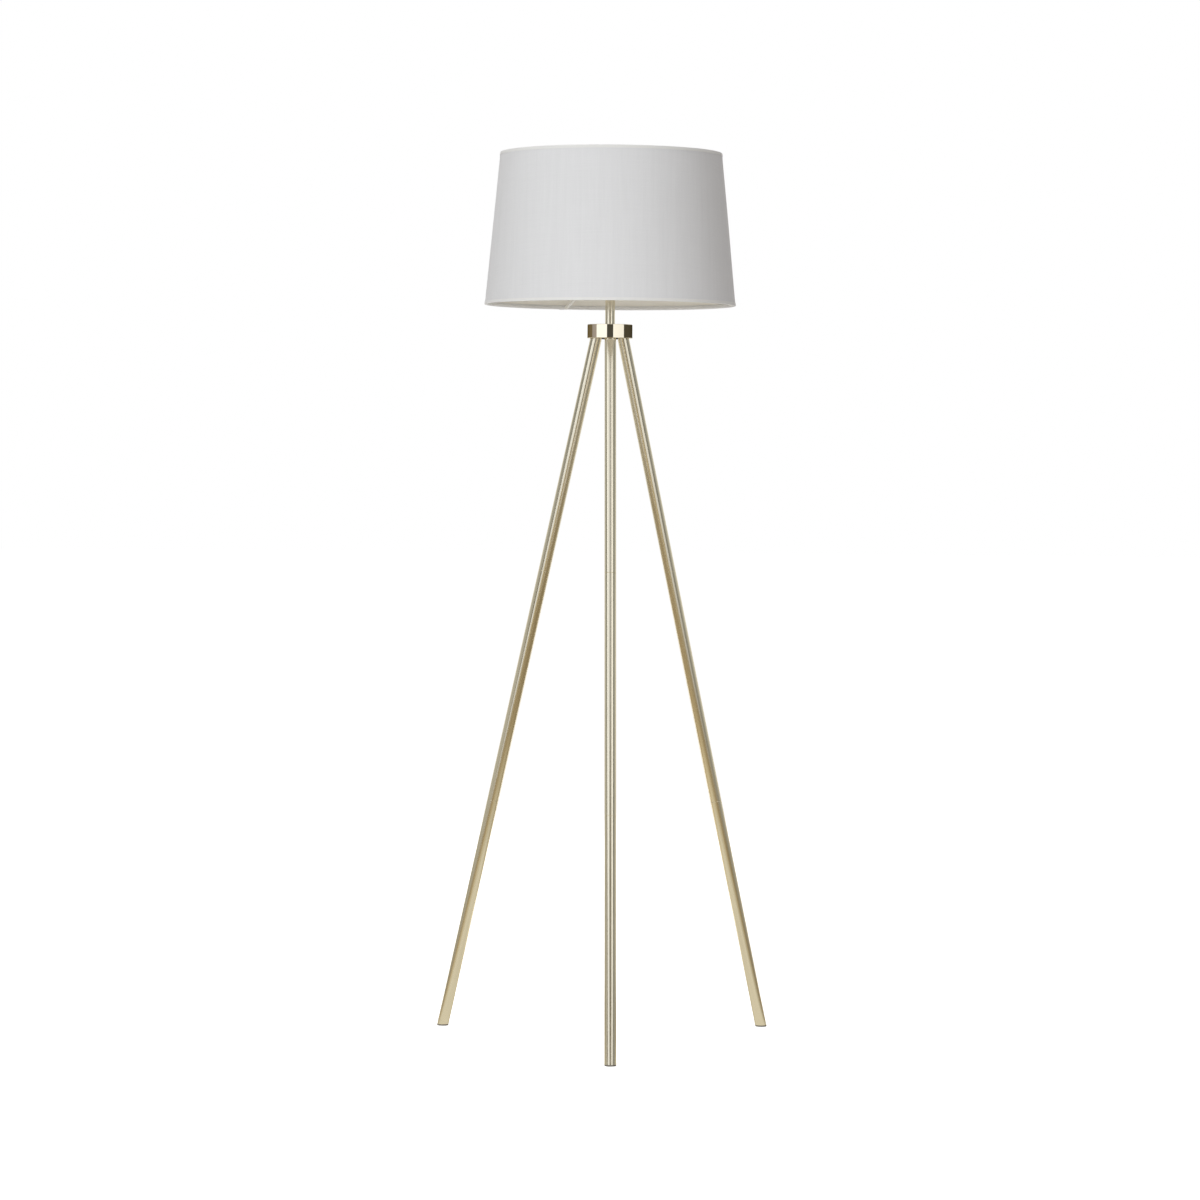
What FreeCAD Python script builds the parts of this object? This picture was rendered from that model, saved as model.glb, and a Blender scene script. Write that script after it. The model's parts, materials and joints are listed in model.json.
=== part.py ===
import FreeCAD, Part
import math
import os

# Tripod floor lamp. Millimetres, +Z up. The origin is on the lamp's axis, at floor level.
# One leg points to -Y (front); the others stand at 120 degrees to it (left is -X, right is +X).

# ---- stand -------------------------------------------------------------------------------
FOOT_RADIUS = 315.5        # from the lamp's axis to a leg's axis, at the floor
HUB_BASE_Z = 1172.0        # underside of the hub
LEG_TUBE_R = 9.5
LEG_TUBE_WALL = 1.2
LEG_SECTIONS = ("lower", "middle", "upper")
LEG_DIRECTIONS = {"front": -90.0, "left": 150.0, "right": 30.0}
SEAM_CHAMFER = 0.35        # on the square ends of each leg section
JOINER_STUD_R = 5.0
JOINER_STUD_LENGTH = 18.0
JOINER_PLUG_LENGTH = 20.0
SOCKET_LENGTH = 24.0
FOOT_PAD_HEIGHT = 2.5
FOOT_STEM_LENGTH = 22.0
FOOT_EDGE_ROUND = 0.4

# ---- hub ---------------------------------------------------------------------------------
HUB_HEIGHT = 23.0
HUB_TOP_ROUND = 1.0
HUB_BASE_ROUND = 0.6
HUB_RIM_LAND = 1.3         # hub metal outside the leg pockets
HUB_WEB = 4.4              # hub metal between the leg pockets and the nut recess
NUT_RECESS_R = 12.0
NUT_RECESS_DEPTH = 10.0
LEG_STUD_R = 4.0
LEG_STUD_LENGTH = 14.0
NUT_ACROSS_FLATS = 14.0
NUT_HEIGHT = 5.0
WASHER_R = 10.5
WASHER_HEIGHT = 1.5
GROMMET_FLANGE_R = 14.0
GROMMET_FLANGE_HEIGHT = 1.5
GROMMET_STEM_HEIGHT = 2.5
GROMMET_BORE_R = 3.25
GROMMET_ROUND = 0.5

# ---- pole --------------------------------------------------------------------------------
POLE_R = 8.0
POLE_WALL = 1.5
POLE_LENGTH = 54.0
PIPE_R = 5.0               # hollow threaded pipe that clamps hub, pole and lampholder
PIPE_BORE_R = 4.0
PIPE_TAIL = 0.5            # pipe below the nut
PIPE_REACH = 8.0           # pipe inside the lampholder's base
BUSH_LENGTH = 8.0
SEAT_RING_R = 9.5
SEAT_RING_HEIGHT = 2.0

# ---- lampholder --------------------------------------------------------------------------
BASE_ROUND = 7.5
BASE_HEIGHT = 24.0
BASE_WALL = 2.0
BASE_BOSS_R = 8.0
BASE_BOSS_HEIGHT = 9.5
SHELL_SPIGOT_DEPTH = 8.0
SHELL_SPIGOT_WALL = 1.95
SHELL_BODY_HEIGHT = 12.0
SHELL_FLANGE_LEDGE = 2.2   # flange outside the threaded sleeve
SHELL_FLANGE_HEIGHT = 3.0
SLEEVE_WALL = 3.8
SLEEVE_HEIGHT = 20.0
THREAD_DEPTH = 0.5
THREAD_PITCH = 2.5
THREAD_TURNS = 4
CORE_FLOOR_HEIGHT = 6.0
CORE_FLOOR_BELOW_FLANGE = 14.0
CORE_WALL = 2.2
CORE_WALL_HEIGHT = 20.0
SCREW_SHELL_WALL = 0.4
SCREW_SHELL_HEIGHT = 22.0
SCREW_SHELL_LIFT = 3.0
CONTACT_WIDTH = 6.0
CONTACT_THICKNESS = 0.5
CONTACT_TAIL_X = -8.5
CONTACT_BEND_X = -5.5
CONTACT_CREST_X = -2.5
CONTACT_TIP_X = 3.0
CONTACT_RISE = 4.5
TERMINAL_X = 8.5
TERMINAL_SIZE = (6.0, 8.0, 6.0)
TERMINAL_SCREW_R = 1.5
TERMINAL_SCREW_HEAD_R = 2.5
TERMINAL_SCREW_HEAD_HEIGHT = 1.6
TERMINAL_SCREW_LENGTH = 5.0
TERMINAL_SLOT_WIDTH = 0.7
TERMINAL_SLOT_DEPTH = 0.7

# ---- shade -------------------------------------------------------------------------------
SHADE_BOTTOM_R = 209.5
SHADE_TOP_R = 185.0
SHADE_HEIGHT = 253.0
FITTER_RISE = 63.0         # underside of the fitter ring above the shade's lower edge
FITTER_WIDTH = 8.1
FITTER_HEIGHT = 2.0
COLLAR_WIDTH = 6.1
COLLAR_HEIGHT = 7.0
COLLAR_RIBS = 16
COLLAR_FLUTE_R = 2.0
COLLAR_FLUTE_DEPTH = 1.0
ARM_R = 2.2
ARM_DIRECTIONS = {"1": 110.0, "2": 230.0, "3": 350.0}
WIRE_R = 2.0
FABRIC_THICKNESS = 0.6
LINER_THICKNESS = 0.5
HEM_THICKNESS = 0.5
HEM_HEIGHT = 5.0
HEM_TURN_IN = 6.0

# ---- bulb --------------------------------------------------------------------------------
BULB_EYELET_R = 4.5
BULB_EYELET_HEIGHT = 1.5
BULB_INSULATOR_R = 9.0
BULB_INSULATOR_HEIGHT = 3.0
BULB_CAP_R = 13.1
BULB_CAP_HEIGHT = 23.0
BULB_CAP_WALL = 0.5
BULB_NECK_LEDGE = 1.1      # bulb body outside the cap, at their joint
BULB_BODY_HEIGHT = 38.0
BULB_BODY_BULGE = 2.0
BULB_BODY_WALL = 1.6
BULB_BODY_R = 27.5
BULB_GLOBE_R = 30.0
BULB_GLOBE_WALL = 1.2
LED_BOARD_HEIGHT = 1.6
LED_BOARD_GAP = 0.6        # between the board's edge and the body's wall, at the rim
LED_COUNT = 8
LED_RING_R = 14.0
LED_SIZE = (3.5, 2.8, 0.8)

# ---- fits --------------------------------------------------------------------------------
PRESS_GAP = 0.05           # between a pressed or threaded piece and its seat
POCKET_CLEARANCE = 0.10    # leg tube in its hub pocket
TURN_CLEARANCE = 0.10      # shade ring and collar on the sleeve
CAP_CLEARANCE = 0.20       # bulb cap in the brass shell
LAYER_GAP = 0.05           # between the shade's layers

# ---- derived places ----------------------------------------------------------------------
POCKET_R = LEG_TUBE_R + POCKET_CLEARANCE
HUB_TOP_Z = HUB_BASE_Z + HUB_HEIGHT
NUT_RECESS_TOP_Z = HUB_BASE_Z + NUT_RECESS_DEPTH
POLE_TOP_Z = HUB_TOP_Z + POLE_LENGTH
BASE_Z = POLE_TOP_Z + SEAT_RING_HEIGHT
SHELL_Z = BASE_Z + BASE_HEIGHT
FITTER_Z = SHELL_Z + SHELL_BODY_HEIGHT + SHELL_FLANGE_HEIGHT
CORE_FLOOR_Z = FITTER_Z - CORE_FLOOR_BELOW_FLANGE
CONTACT_TOP_Z = CORE_FLOOR_Z + CONTACT_RISE + CONTACT_THICKNESS
SHADE_BASE_Z = FITTER_Z - FITTER_RISE
SHADE_TOP_Z = SHADE_BASE_Z + SHADE_HEIGHT
PIPE_HOLE_R = PIPE_R + PRESS_GAP
SCREW_SHELL_R = BULB_CAP_R + CAP_CLEARANCE
CORE_BORE_R = SCREW_SHELL_R + SCREW_SHELL_WALL + PRESS_GAP
CORE_R = CORE_BORE_R + CORE_WALL
SHELL_INNER_R = CORE_R + PRESS_GAP
SPIGOT_R = SHELL_INNER_R + SHELL_SPIGOT_WALL
BASE_R = SPIGOT_R + PRESS_GAP + BASE_WALL
SLEEVE_R = SHELL_INNER_R + SLEEVE_WALL
SHELL_FLANGE_R = SLEEVE_R + SHELL_FLANGE_LEDGE
TURNING_BORE_R = SLEEVE_R + TURN_CLEARANCE
FITTER_R = TURNING_BORE_R + FITTER_WIDTH
COLLAR_R = TURNING_BORE_R + COLLAR_WIDTH
BULB_BODY_NECK_R = BULB_CAP_R + BULB_NECK_LEDGE
RIM_WIDTH = (2 * HEM_THICKNESS + FABRIC_THICKNESS + LINER_THICKNESS + 2 * WIRE_R
             + 4 * LAYER_GAP)


def leg_head_radius(tilt):
    """Distance from the lamp's axis to a leg's axis, at the hub's underside."""
    return NUT_RECESS_R + HUB_WEB + POCKET_R / math.cos(tilt)


def find_leg_tilt():
    """Lean of a leg from the vertical, found by repeated substitution."""
    tilt = 0.0
    for _ in range(20):
        tilt = math.atan((FOOT_RADIUS - leg_head_radius(tilt)) / HUB_BASE_Z)
    return tilt


LEG_TILT = find_leg_tilt()
LEG_HEAD_R = leg_head_radius(LEG_TILT)
HUB_R = LEG_HEAD_R + POCKET_R / math.cos(LEG_TILT) + HUB_RIM_LAND
# Along a leg's own axis, measured up from the floor: where its square top seats in the hub.
LEG_SEAT = HUB_BASE_Z / math.cos(LEG_TILT) + POCKET_R * math.tan(LEG_TILT)
LEG_SECTION_LENGTH = LEG_SEAT / len(LEG_SECTIONS)

ORIGIN = FreeCAD.Vector(0, 0, 0)
UP = FreeCAD.Vector(0, 0, 1)
ALONG_Y = FreeCAD.Vector(0, 1, 0)


# ---- helpers -----------------------------------------------------------------------------
def save(name, shape):
    """Write one sub-part, as a single solid or a group of separate solids."""
    shape.exportStep(f"parts/{name}.step")


def group(solids):
    """Separate solids that share one node."""
    return Part.makeCompound(solids)


def rod(radius, low, high):
    """Upright cylinder on the axis, from height low to height high."""
    return Part.makeCylinder(radius, high - low, FreeCAD.Vector(0, 0, low), UP)


def ring(outer_r, inner_r, low, high):
    """Upright tube on the axis."""
    return rod(outer_r, low, high).cut(rod(inner_r, low, high))


def box(size, centre):
    """Box of the given size about a centre point."""
    corner = FreeCAD.Vector(*(c - s / 2 for c, s in zip(centre, size)))
    return Part.makeBox(*size, corner)


def on_profile(point):
    """A (radius, height) pair as a point in the XZ plane."""
    return FreeCAD.Vector(point[0], 0, point[1])


def revolve(start, *steps):
    """Solid of revolution about Z. A step is a (radius, height) point, or two for an arc."""
    edges = []
    here = start
    for step in steps:
        if isinstance(step[0], tuple):
            middle, end = step
            arc = Part.Arc(on_profile(here), on_profile(middle), on_profile(end))
            edges.append(arc.toShape())
        else:
            end = step
            edges.append(Part.LineSegment(on_profile(here), on_profile(end)).toShape())
        here = end
    if here != start:
        edges.append(Part.LineSegment(on_profile(here), on_profile(start)).toShape())
    face = Part.Face(Part.Wire(edges))
    return face.revolve(ORIGIN, UP, 360)


def edges_at(shape, height):
    """Edges that lie wholly at one height."""
    found = []
    for edge in shape.Edges:
        bounds = edge.BoundBox
        if abs(bounds.ZMin - height) < 1e-4 and abs(bounds.ZMax - height) < 1e-4:
            found.append(edge)
    return found


def outermost(edges):
    """The edge that reaches furthest in X."""
    return max(edges, key=lambda edge: edge.BoundBox.XMax)


def turned(shape, degrees):
    """Copy of a shape, turned about the lamp's axis."""
    copy = shape.copy()
    copy.rotate(ORIGIN, UP, degrees)
    return copy


def lean(shape):
    """Lean a piece made along a leg's own axis, so that its foot is on +X."""
    copy = shape.copy()
    copy.rotate(ORIGIN, ALONG_Y, -math.degrees(LEG_TILT))
    copy.translate(FreeCAD.Vector(FOOT_RADIUS, 0, 0))
    return copy


def slab(low, high):
    """Wide flat block that reaches past the whole lamp, for level cuts."""
    reach = 2 * FOOT_RADIUS
    return Part.makeBox(2 * reach, 2 * reach, high - low, FreeCAD.Vector(-reach, -reach, low))


# ---- legs --------------------------------------------------------------------------------
def leg_section(index):
    """One length of leg tube, in its place on a leaning leg."""
    low = index * LEG_SECTION_LENGTH
    high = low + LEG_SECTION_LENGTH
    tube = ring(LEG_TUBE_R, LEG_TUBE_R - LEG_TUBE_WALL, low, high)
    square_ends = [high]
    if index > 0:
        square_ends.append(low)
    for height in square_ends:
        tube = tube.makeChamfer(SEAM_CHAMFER, [outermost(edges_at(tube, height))])
    if index == 0:
        below = rod(LEG_TUBE_R, -FOOT_STEM_LENGTH, low)
        below = below.cut(rod(LEG_TUBE_R - LEG_TUBE_WALL, -FOOT_STEM_LENGTH, low))
        tube = lean(tube.fuse(below).removeSplitter())
        return tube.cut(slab(-FOOT_STEM_LENGTH * 2, FOOT_PAD_HEIGHT))
    return lean(tube)


def leg_joiners():
    """Studded plugs pressed in the lower ends of the upper and middle tubes."""
    plug_r = LEG_TUBE_R - LEG_TUBE_WALL - PRESS_GAP
    joiners = []
    for index in range(1, len(LEG_SECTIONS)):
        seam = index * LEG_SECTION_LENGTH
        plug = rod(plug_r, seam, seam + JOINER_PLUG_LENGTH)
        stud = rod(JOINER_STUD_R, seam - JOINER_STUD_LENGTH, seam)
        joiners.append(lean(plug.fuse(stud)))
    return group(joiners)


def leg_sockets():
    """Threaded plugs pressed in the upper ends of the lower and middle tubes."""
    plug_r = LEG_TUBE_R - LEG_TUBE_WALL - PRESS_GAP
    sockets = []
    for index in range(1, len(LEG_SECTIONS)):
        seam = index * LEG_SECTION_LENGTH
        plug = ring(plug_r, JOINER_STUD_R + PRESS_GAP, seam - SOCKET_LENGTH, seam)
        sockets.append(lean(plug))
    return group(sockets)


def leg_head_plug():
    """Plug in a leg's top end, with the stud that screws into the hub."""
    plug_r = LEG_TUBE_R - LEG_TUBE_WALL - PRESS_GAP
    plug = rod(plug_r, LEG_SEAT - JOINER_PLUG_LENGTH, LEG_SEAT)
    stud = rod(LEG_STUD_R, LEG_SEAT, LEG_SEAT + LEG_STUD_LENGTH)
    return lean(plug.fuse(stud))


def foot_pad():
    """Rubber foot: a level pad under the tube, with a stem pressed up inside it."""
    stem_r = LEG_TUBE_R - LEG_TUBE_WALL - PRESS_GAP
    pad = lean(rod(LEG_TUBE_R, -FOOT_STEM_LENGTH, FOOT_STEM_LENGTH))
    pad = pad.common(slab(0, FOOT_PAD_HEIGHT))
    pad = pad.makeFillet(FOOT_EDGE_ROUND, edges_at(pad, 0))
    stem = lean(rod(stem_r, -FOOT_STEM_LENGTH, FOOT_STEM_LENGTH))
    stem = stem.common(slab(FOOT_PAD_HEIGHT, HUB_BASE_Z))
    return pad.fuse(stem)


# ---- hub ---------------------------------------------------------------------------------
def hub_disc():
    """Turned disc with three leaning leg pockets and a recess for the nut."""
    disc = rod(HUB_R, HUB_BASE_Z, HUB_TOP_Z)
    disc = disc.makeFillet(HUB_TOP_ROUND, edges_at(disc, HUB_TOP_Z))
    disc = disc.makeFillet(HUB_BASE_ROUND, [outermost(edges_at(disc, HUB_BASE_Z))])
    disc = disc.cut(rod(PIPE_HOLE_R, HUB_BASE_Z, HUB_TOP_Z))
    disc = disc.cut(rod(NUT_RECESS_R, HUB_BASE_Z, NUT_RECESS_TOP_Z))
    pocket = rod(POCKET_R, LEG_SEAT - HUB_HEIGHT, LEG_SEAT)
    tapped = rod(LEG_STUD_R + PRESS_GAP, LEG_SEAT, LEG_SEAT + LEG_STUD_LENGTH + PRESS_GAP)
    cutter = lean(pocket.fuse(tapped))
    for direction in LEG_DIRECTIONS.values():
        disc = disc.cut(turned(cutter, direction))
    return disc


def hub_washer():
    """Flat washer at the ceiling of the hub's recess."""
    low = NUT_RECESS_TOP_Z - WASHER_HEIGHT
    return ring(WASHER_R, PIPE_HOLE_R, low, NUT_RECESS_TOP_Z)


def hub_nut():
    """Hexagon nut that draws the pipe down against the hub."""
    high = NUT_RECESS_TOP_Z - WASHER_HEIGHT
    low = high - NUT_HEIGHT
    corner_r = NUT_ACROSS_FLATS / math.sqrt(3)
    corners = []
    for step in range(7):
        angle = math.radians(60 * step)
        corners.append(FreeCAD.Vector(corner_r * math.cos(angle), corner_r * math.sin(angle), low))
    hexagon = Part.Face(Part.makePolygon(corners))
    nut = hexagon.extrude(UP * NUT_HEIGHT)
    return nut.cut(rod(PIPE_HOLE_R, low, high))


def cord_grommet():
    """Plastic bush that closes the recess and leads the cord out below the hub."""
    low = HUB_BASE_Z - GROMMET_FLANGE_HEIGHT
    flange = rod(GROMMET_FLANGE_R, low, HUB_BASE_Z)
    flange = flange.makeFillet(GROMMET_ROUND, edges_at(flange, low))
    high = HUB_BASE_Z + GROMMET_STEM_HEIGHT
    stem = rod(NUT_RECESS_R - PRESS_GAP, HUB_BASE_Z, high)
    return flange.fuse(stem).cut(rod(GROMMET_BORE_R, low, high))


# ---- pole --------------------------------------------------------------------------------
def threaded_pipe():
    """Hollow rod from under the nut up into the lampholder; the cord runs inside it."""
    low = NUT_RECESS_TOP_Z - WASHER_HEIGHT - NUT_HEIGHT - PIPE_TAIL
    return ring(PIPE_R, PIPE_BORE_R, low, BASE_Z + PIPE_REACH)


def pole_tube():
    """Outer sleeve of the short pole, clamped between the hub and the seat ring."""
    return ring(POLE_R, POLE_R - POLE_WALL, HUB_TOP_Z, POLE_TOP_Z)


def pole_bushes():
    """Bushes that centre the sleeve on the pipe, at its two ends."""
    bush_r = POLE_R - POLE_WALL - PRESS_GAP
    lower = ring(bush_r, PIPE_HOLE_R, HUB_TOP_Z, HUB_TOP_Z + BUSH_LENGTH)
    upper = ring(bush_r, PIPE_HOLE_R, POLE_TOP_Z - BUSH_LENGTH, POLE_TOP_Z)
    return group([lower, upper])


def pole_seat_ring():
    """Ring on top of the pole that the lampholder's base sits on."""
    return ring(SEAT_RING_R, PIPE_HOLE_R, POLE_TOP_Z, BASE_Z)


# ---- lampholder --------------------------------------------------------------------------
def holder_base():
    """Lower cup of the lampholder, screwed onto the pipe."""
    floor_r = BASE_R - BASE_ROUND
    shoulder_z = BASE_Z + BASE_ROUND
    outer_drop = BASE_ROUND * math.sqrt(0.5)
    inner_drop = (BASE_ROUND - BASE_WALL) * math.sqrt(0.5)
    boss_z = BASE_Z + BASE_BOSS_HEIGHT
    return revolve((PIPE_HOLE_R, BASE_Z),
                   (floor_r, BASE_Z),
                   ((floor_r + outer_drop, shoulder_z - outer_drop), (BASE_R, shoulder_z)),
                   (BASE_R, SHELL_Z),
                   (BASE_R - BASE_WALL, SHELL_Z),
                   (BASE_R - BASE_WALL, shoulder_z),
                   ((floor_r + inner_drop, shoulder_z - inner_drop), (floor_r, BASE_Z + BASE_WALL)),
                   (BASE_BOSS_R, BASE_Z + BASE_WALL),
                   (BASE_BOSS_R, boss_z),
                   (PIPE_HOLE_R, boss_z))


def holder_shell():
    """Upper shell: spigot in the base, flange under the shade, threaded sleeve above."""
    spigot_z = SHELL_Z - SHELL_SPIGOT_DEPTH
    flange_z = FITTER_Z - SHELL_FLANGE_HEIGHT
    top_z = FITTER_Z + SLEEVE_HEIGHT
    root_r = SLEEVE_R - THREAD_DEPTH
    thread = []
    for turn in range(THREAD_TURNS):
        root_z = top_z - (turn + 1) * THREAD_PITCH
        thread.insert(0, (SLEEVE_R, root_z + THREAD_PITCH / 2))
        thread.insert(0, (root_r, root_z))
        thread.insert(0, (SLEEVE_R, root_z - THREAD_PITCH / 2))
    crests = [point for index, point in enumerate(thread) if point not in thread[:index]]
    return revolve((SHELL_INNER_R, spigot_z),
                   (SPIGOT_R, spigot_z),
                   (SPIGOT_R, SHELL_Z),
                   (BASE_R, SHELL_Z),
                   (BASE_R, flange_z),
                   (SHELL_FLANGE_R, flange_z),
                   (SHELL_FLANGE_R, FITTER_Z),
                   (SLEEVE_R, FITTER_Z),
                   *crests,
                   (root_r, top_z),
                   (SHELL_INNER_R, top_z))


def holder_core():
    """Insulating cup that carries the contacts, closed by a floor with two terminals."""
    floor = rod(CORE_R, CORE_FLOOR_Z - CORE_FLOOR_HEIGHT, CORE_FLOOR_Z)
    wall = ring(CORE_R, CORE_BORE_R, CORE_FLOOR_Z, CORE_FLOOR_Z + CORE_WALL_HEIGHT)
    step = ring(CORE_BORE_R, SCREW_SHELL_R - SCREW_SHELL_WALL, CORE_FLOOR_Z,
                CORE_FLOOR_Z + SCREW_SHELL_LIFT)
    return floor.fuse(wall).fuse(step).removeSplitter()


def holder_screw_shell():
    """Thin brass shell that the bulb's cap screws into."""
    low = CORE_FLOOR_Z + SCREW_SHELL_LIFT
    return ring(SCREW_SHELL_R + SCREW_SHELL_WALL, SCREW_SHELL_R, low, low + SCREW_SHELL_HEIGHT)


def holder_centre_contact():
    """Bent brass tongue that presses up on the bulb's centre contact."""
    low = CORE_FLOOR_Z
    high = low + CONTACT_RISE
    side = [(CONTACT_TAIL_X, low), (CONTACT_BEND_X, low),
            (CONTACT_CREST_X, high), (CONTACT_TIP_X, high)]
    upper_side = [(x, z + CONTACT_THICKNESS) for x, z in reversed(side)]
    outline = side + upper_side + side[:1]
    points = [FreeCAD.Vector(x, -CONTACT_WIDTH / 2, z) for x, z in outline]
    return Part.Face(Part.makePolygon(points)).extrude(ALONG_Y * CONTACT_WIDTH)


def terminal_block(side):
    """Brass block under the core's floor, with a screw hole in its front face."""
    width, depth, height = TERMINAL_SIZE
    centre_z = CORE_FLOOR_Z - CORE_FLOOR_HEIGHT - height / 2
    block = box(TERMINAL_SIZE, (side * TERMINAL_X, 0, centre_z))
    start = FreeCAD.Vector(side * TERMINAL_X, -depth / 2, centre_z)
    return block.cut(Part.makeCylinder(TERMINAL_SCREW_R + PRESS_GAP, depth, start, ALONG_Y))


def terminal_screw(side):
    """Slotted screw in a terminal block."""
    depth, height = TERMINAL_SIZE[1:]
    centre_z = CORE_FLOOR_Z - CORE_FLOOR_HEIGHT - height / 2
    face = FreeCAD.Vector(side * TERMINAL_X, -depth / 2, centre_z)
    shank = Part.makeCylinder(TERMINAL_SCREW_R, TERMINAL_SCREW_LENGTH, face, ALONG_Y)
    head = Part.makeCylinder(TERMINAL_SCREW_HEAD_R, TERMINAL_SCREW_HEAD_HEIGHT, face, -ALONG_Y)
    slot_size = (2 * TERMINAL_SCREW_HEAD_R, 2 * TERMINAL_SLOT_DEPTH, TERMINAL_SLOT_WIDTH)
    slot = box(slot_size, (face.x, face.y - TERMINAL_SCREW_HEAD_HEIGHT, centre_z))
    return head.fuse(shank).cut(slot)


# ---- shade -------------------------------------------------------------------------------
def shade_r(z, inset=0.0):
    """Outer radius of the tapered drum at a height, less an inset."""
    share = (z - SHADE_BASE_Z) / SHADE_HEIGHT
    return SHADE_BOTTOM_R + (SHADE_TOP_R - SHADE_BOTTOM_R) * share - inset


def drum_layer(inset, thickness):
    """Tapered sleeve between the two hems, at an inset from the drum's outside."""
    low = SHADE_BASE_Z + HEM_THICKNESS + LAYER_GAP
    high = SHADE_TOP_Z - HEM_THICKNESS - LAYER_GAP
    return revolve((shade_r(low, inset), low),
                   (shade_r(high, inset), high),
                   (shade_r(high, inset + thickness), high),
                   (shade_r(low, inset + thickness), low))


def shade_fabric():
    """Fabric skin of the shade."""
    return drum_layer(HEM_THICKNESS + LAYER_GAP, FABRIC_THICKNESS)


def shade_liner():
    """Stiff white liner that the fabric is bonded to."""
    inset = HEM_THICKNESS + FABRIC_THICKNESS + 2 * LAYER_GAP
    return drum_layer(inset, LINER_THICKNESS)


def wire_place(edge_z, inwards):
    """Radius and height of a rim wire's centre. inwards is +1 at the base, -1 at the top."""
    z = edge_z + inwards * (HEM_THICKNESS + LAYER_GAP + WIRE_R)
    inset = HEM_THICKNESS + FABRIC_THICKNESS + LINER_THICKNESS + 3 * LAYER_GAP + WIRE_R
    return shade_r(z, inset), z


def rim_wire(edge_z, inwards, radius=WIRE_R):
    """Round wire ring that stiffens one edge of the shade."""
    ring_r, z = wire_place(edge_z, inwards)
    return Part.makeTorus(ring_r, radius, FreeCAD.Vector(0, 0, z), UP)


def hem(edge_z, inwards):
    """Fabric tape folded over one edge of the shade and round its wire."""
    outer_z = edge_z + inwards * HEM_HEIGHT
    inner_z = edge_z + inwards * HEM_TURN_IN
    fold_z = edge_z + inwards * HEM_THICKNESS
    inside = RIM_WIDTH - HEM_THICKNESS
    return revolve((shade_r(outer_z), outer_z),
                   (shade_r(edge_z), edge_z),
                   (shade_r(edge_z, RIM_WIDTH), edge_z),
                   (shade_r(inner_z, RIM_WIDTH), inner_z),
                   (shade_r(inner_z, inside), inner_z),
                   (shade_r(fold_z, inside), fold_z),
                   (shade_r(fold_z, HEM_THICKNESS), fold_z),
                   (shade_r(outer_z, HEM_THICKNESS), outer_z))


def arm_rod(radius):
    """Straight rod on +X, from the fitter ring out to the lower wire's centre."""
    wire_r, wire_z = wire_place(SHADE_BASE_Z, 1)
    start = FreeCAD.Vector(0, 0, 0)
    start.x = FITTER_R - ARM_R
    slope = (FITTER_Z + FITTER_HEIGHT / 2 - wire_z) / (wire_r - FITTER_R)
    start.z = FITTER_Z + FITTER_HEIGHT / 2 + slope * ARM_R
    end = FreeCAD.Vector(wire_r, 0, wire_z)
    return Part.makeCylinder(radius, start.distanceToPoint(end), start, end - start)


def shade_arm():
    """Spoke of the shade's frame, trimmed to the fitter ring and the lower wire."""
    arm = arm_rod(ARM_R)
    arm = arm.cut(rod(FITTER_R + LAYER_GAP, SHADE_BASE_Z, SHADE_TOP_Z))
    return arm.cut(rim_wire(SHADE_BASE_Z, 1, WIRE_R + LAYER_GAP))


def shade_bottom_hem():
    """Lower hem, notched where the three spokes pass through it."""
    tape = hem(SHADE_BASE_Z, 1)
    for direction in ARM_DIRECTIONS.values():
        tape = tape.cut(turned(arm_rod(ARM_R + LAYER_GAP), direction))
    return tape


def shade_fitter_ring():
    """Flat ring at the centre of the shade's frame, held on the lampholder's flange."""
    return ring(FITTER_R, TURNING_BORE_R, FITTER_Z, FITTER_Z + FITTER_HEIGHT)


def shade_collar():
    """Fluted ring screwed down on the fitter ring."""
    low = FITTER_Z + FITTER_HEIGHT
    high = low + COLLAR_HEIGHT
    collar = ring(COLLAR_R, TURNING_BORE_R, low, high)
    flute_x = COLLAR_R + COLLAR_FLUTE_R - COLLAR_FLUTE_DEPTH
    flute = rod(COLLAR_FLUTE_R, low, high)
    flute.translate(FreeCAD.Vector(flute_x, 0, 0))
    flutes = [turned(flute, 360 * index / COLLAR_RIBS) for index in range(COLLAR_RIBS)]
    return collar.cut(flutes)


# ---- bulb --------------------------------------------------------------------------------
BULB_CAP_Z = CONTACT_TOP_Z + BULB_EYELET_HEIGHT + BULB_INSULATOR_HEIGHT
BULB_BODY_Z = BULB_CAP_Z + BULB_CAP_HEIGHT
BULB_RIM_Z = BULB_BODY_Z + BULB_BODY_HEIGHT
BULB_GLOBE_Z = BULB_RIM_Z + math.sqrt(BULB_GLOBE_R ** 2 - BULB_BODY_R ** 2)


def bulb_eyelet():
    """Centre contact at the very bottom of the bulb."""
    return rod(BULB_EYELET_R, CONTACT_TOP_Z, CONTACT_TOP_Z + BULB_EYELET_HEIGHT)


def bulb_insulator():
    """Insulating cone between the centre contact and the cap."""
    low = CONTACT_TOP_Z + BULB_EYELET_HEIGHT
    return Part.makeCone(BULB_EYELET_R, BULB_INSULATOR_R, BULB_INSULATOR_HEIGHT,
                         FreeCAD.Vector(0, 0, low), UP)


def bulb_cap():
    """Metal cap, a thin cup that tapers in to the insulator."""
    taper_z = BULB_CAP_Z + BULB_CAP_R - BULB_INSULATOR_R
    inner_r = BULB_CAP_R - BULB_CAP_WALL
    return revolve((0, BULB_CAP_Z),
                   (BULB_INSULATOR_R, BULB_CAP_Z),
                   (BULB_CAP_R, taper_z),
                   (BULB_CAP_R, BULB_BODY_Z),
                   (inner_r, BULB_BODY_Z),
                   (inner_r, taper_z),
                   (BULB_INSULATOR_R, BULB_CAP_Z + BULB_CAP_WALL),
                   (0, BULB_CAP_Z + BULB_CAP_WALL))


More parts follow.
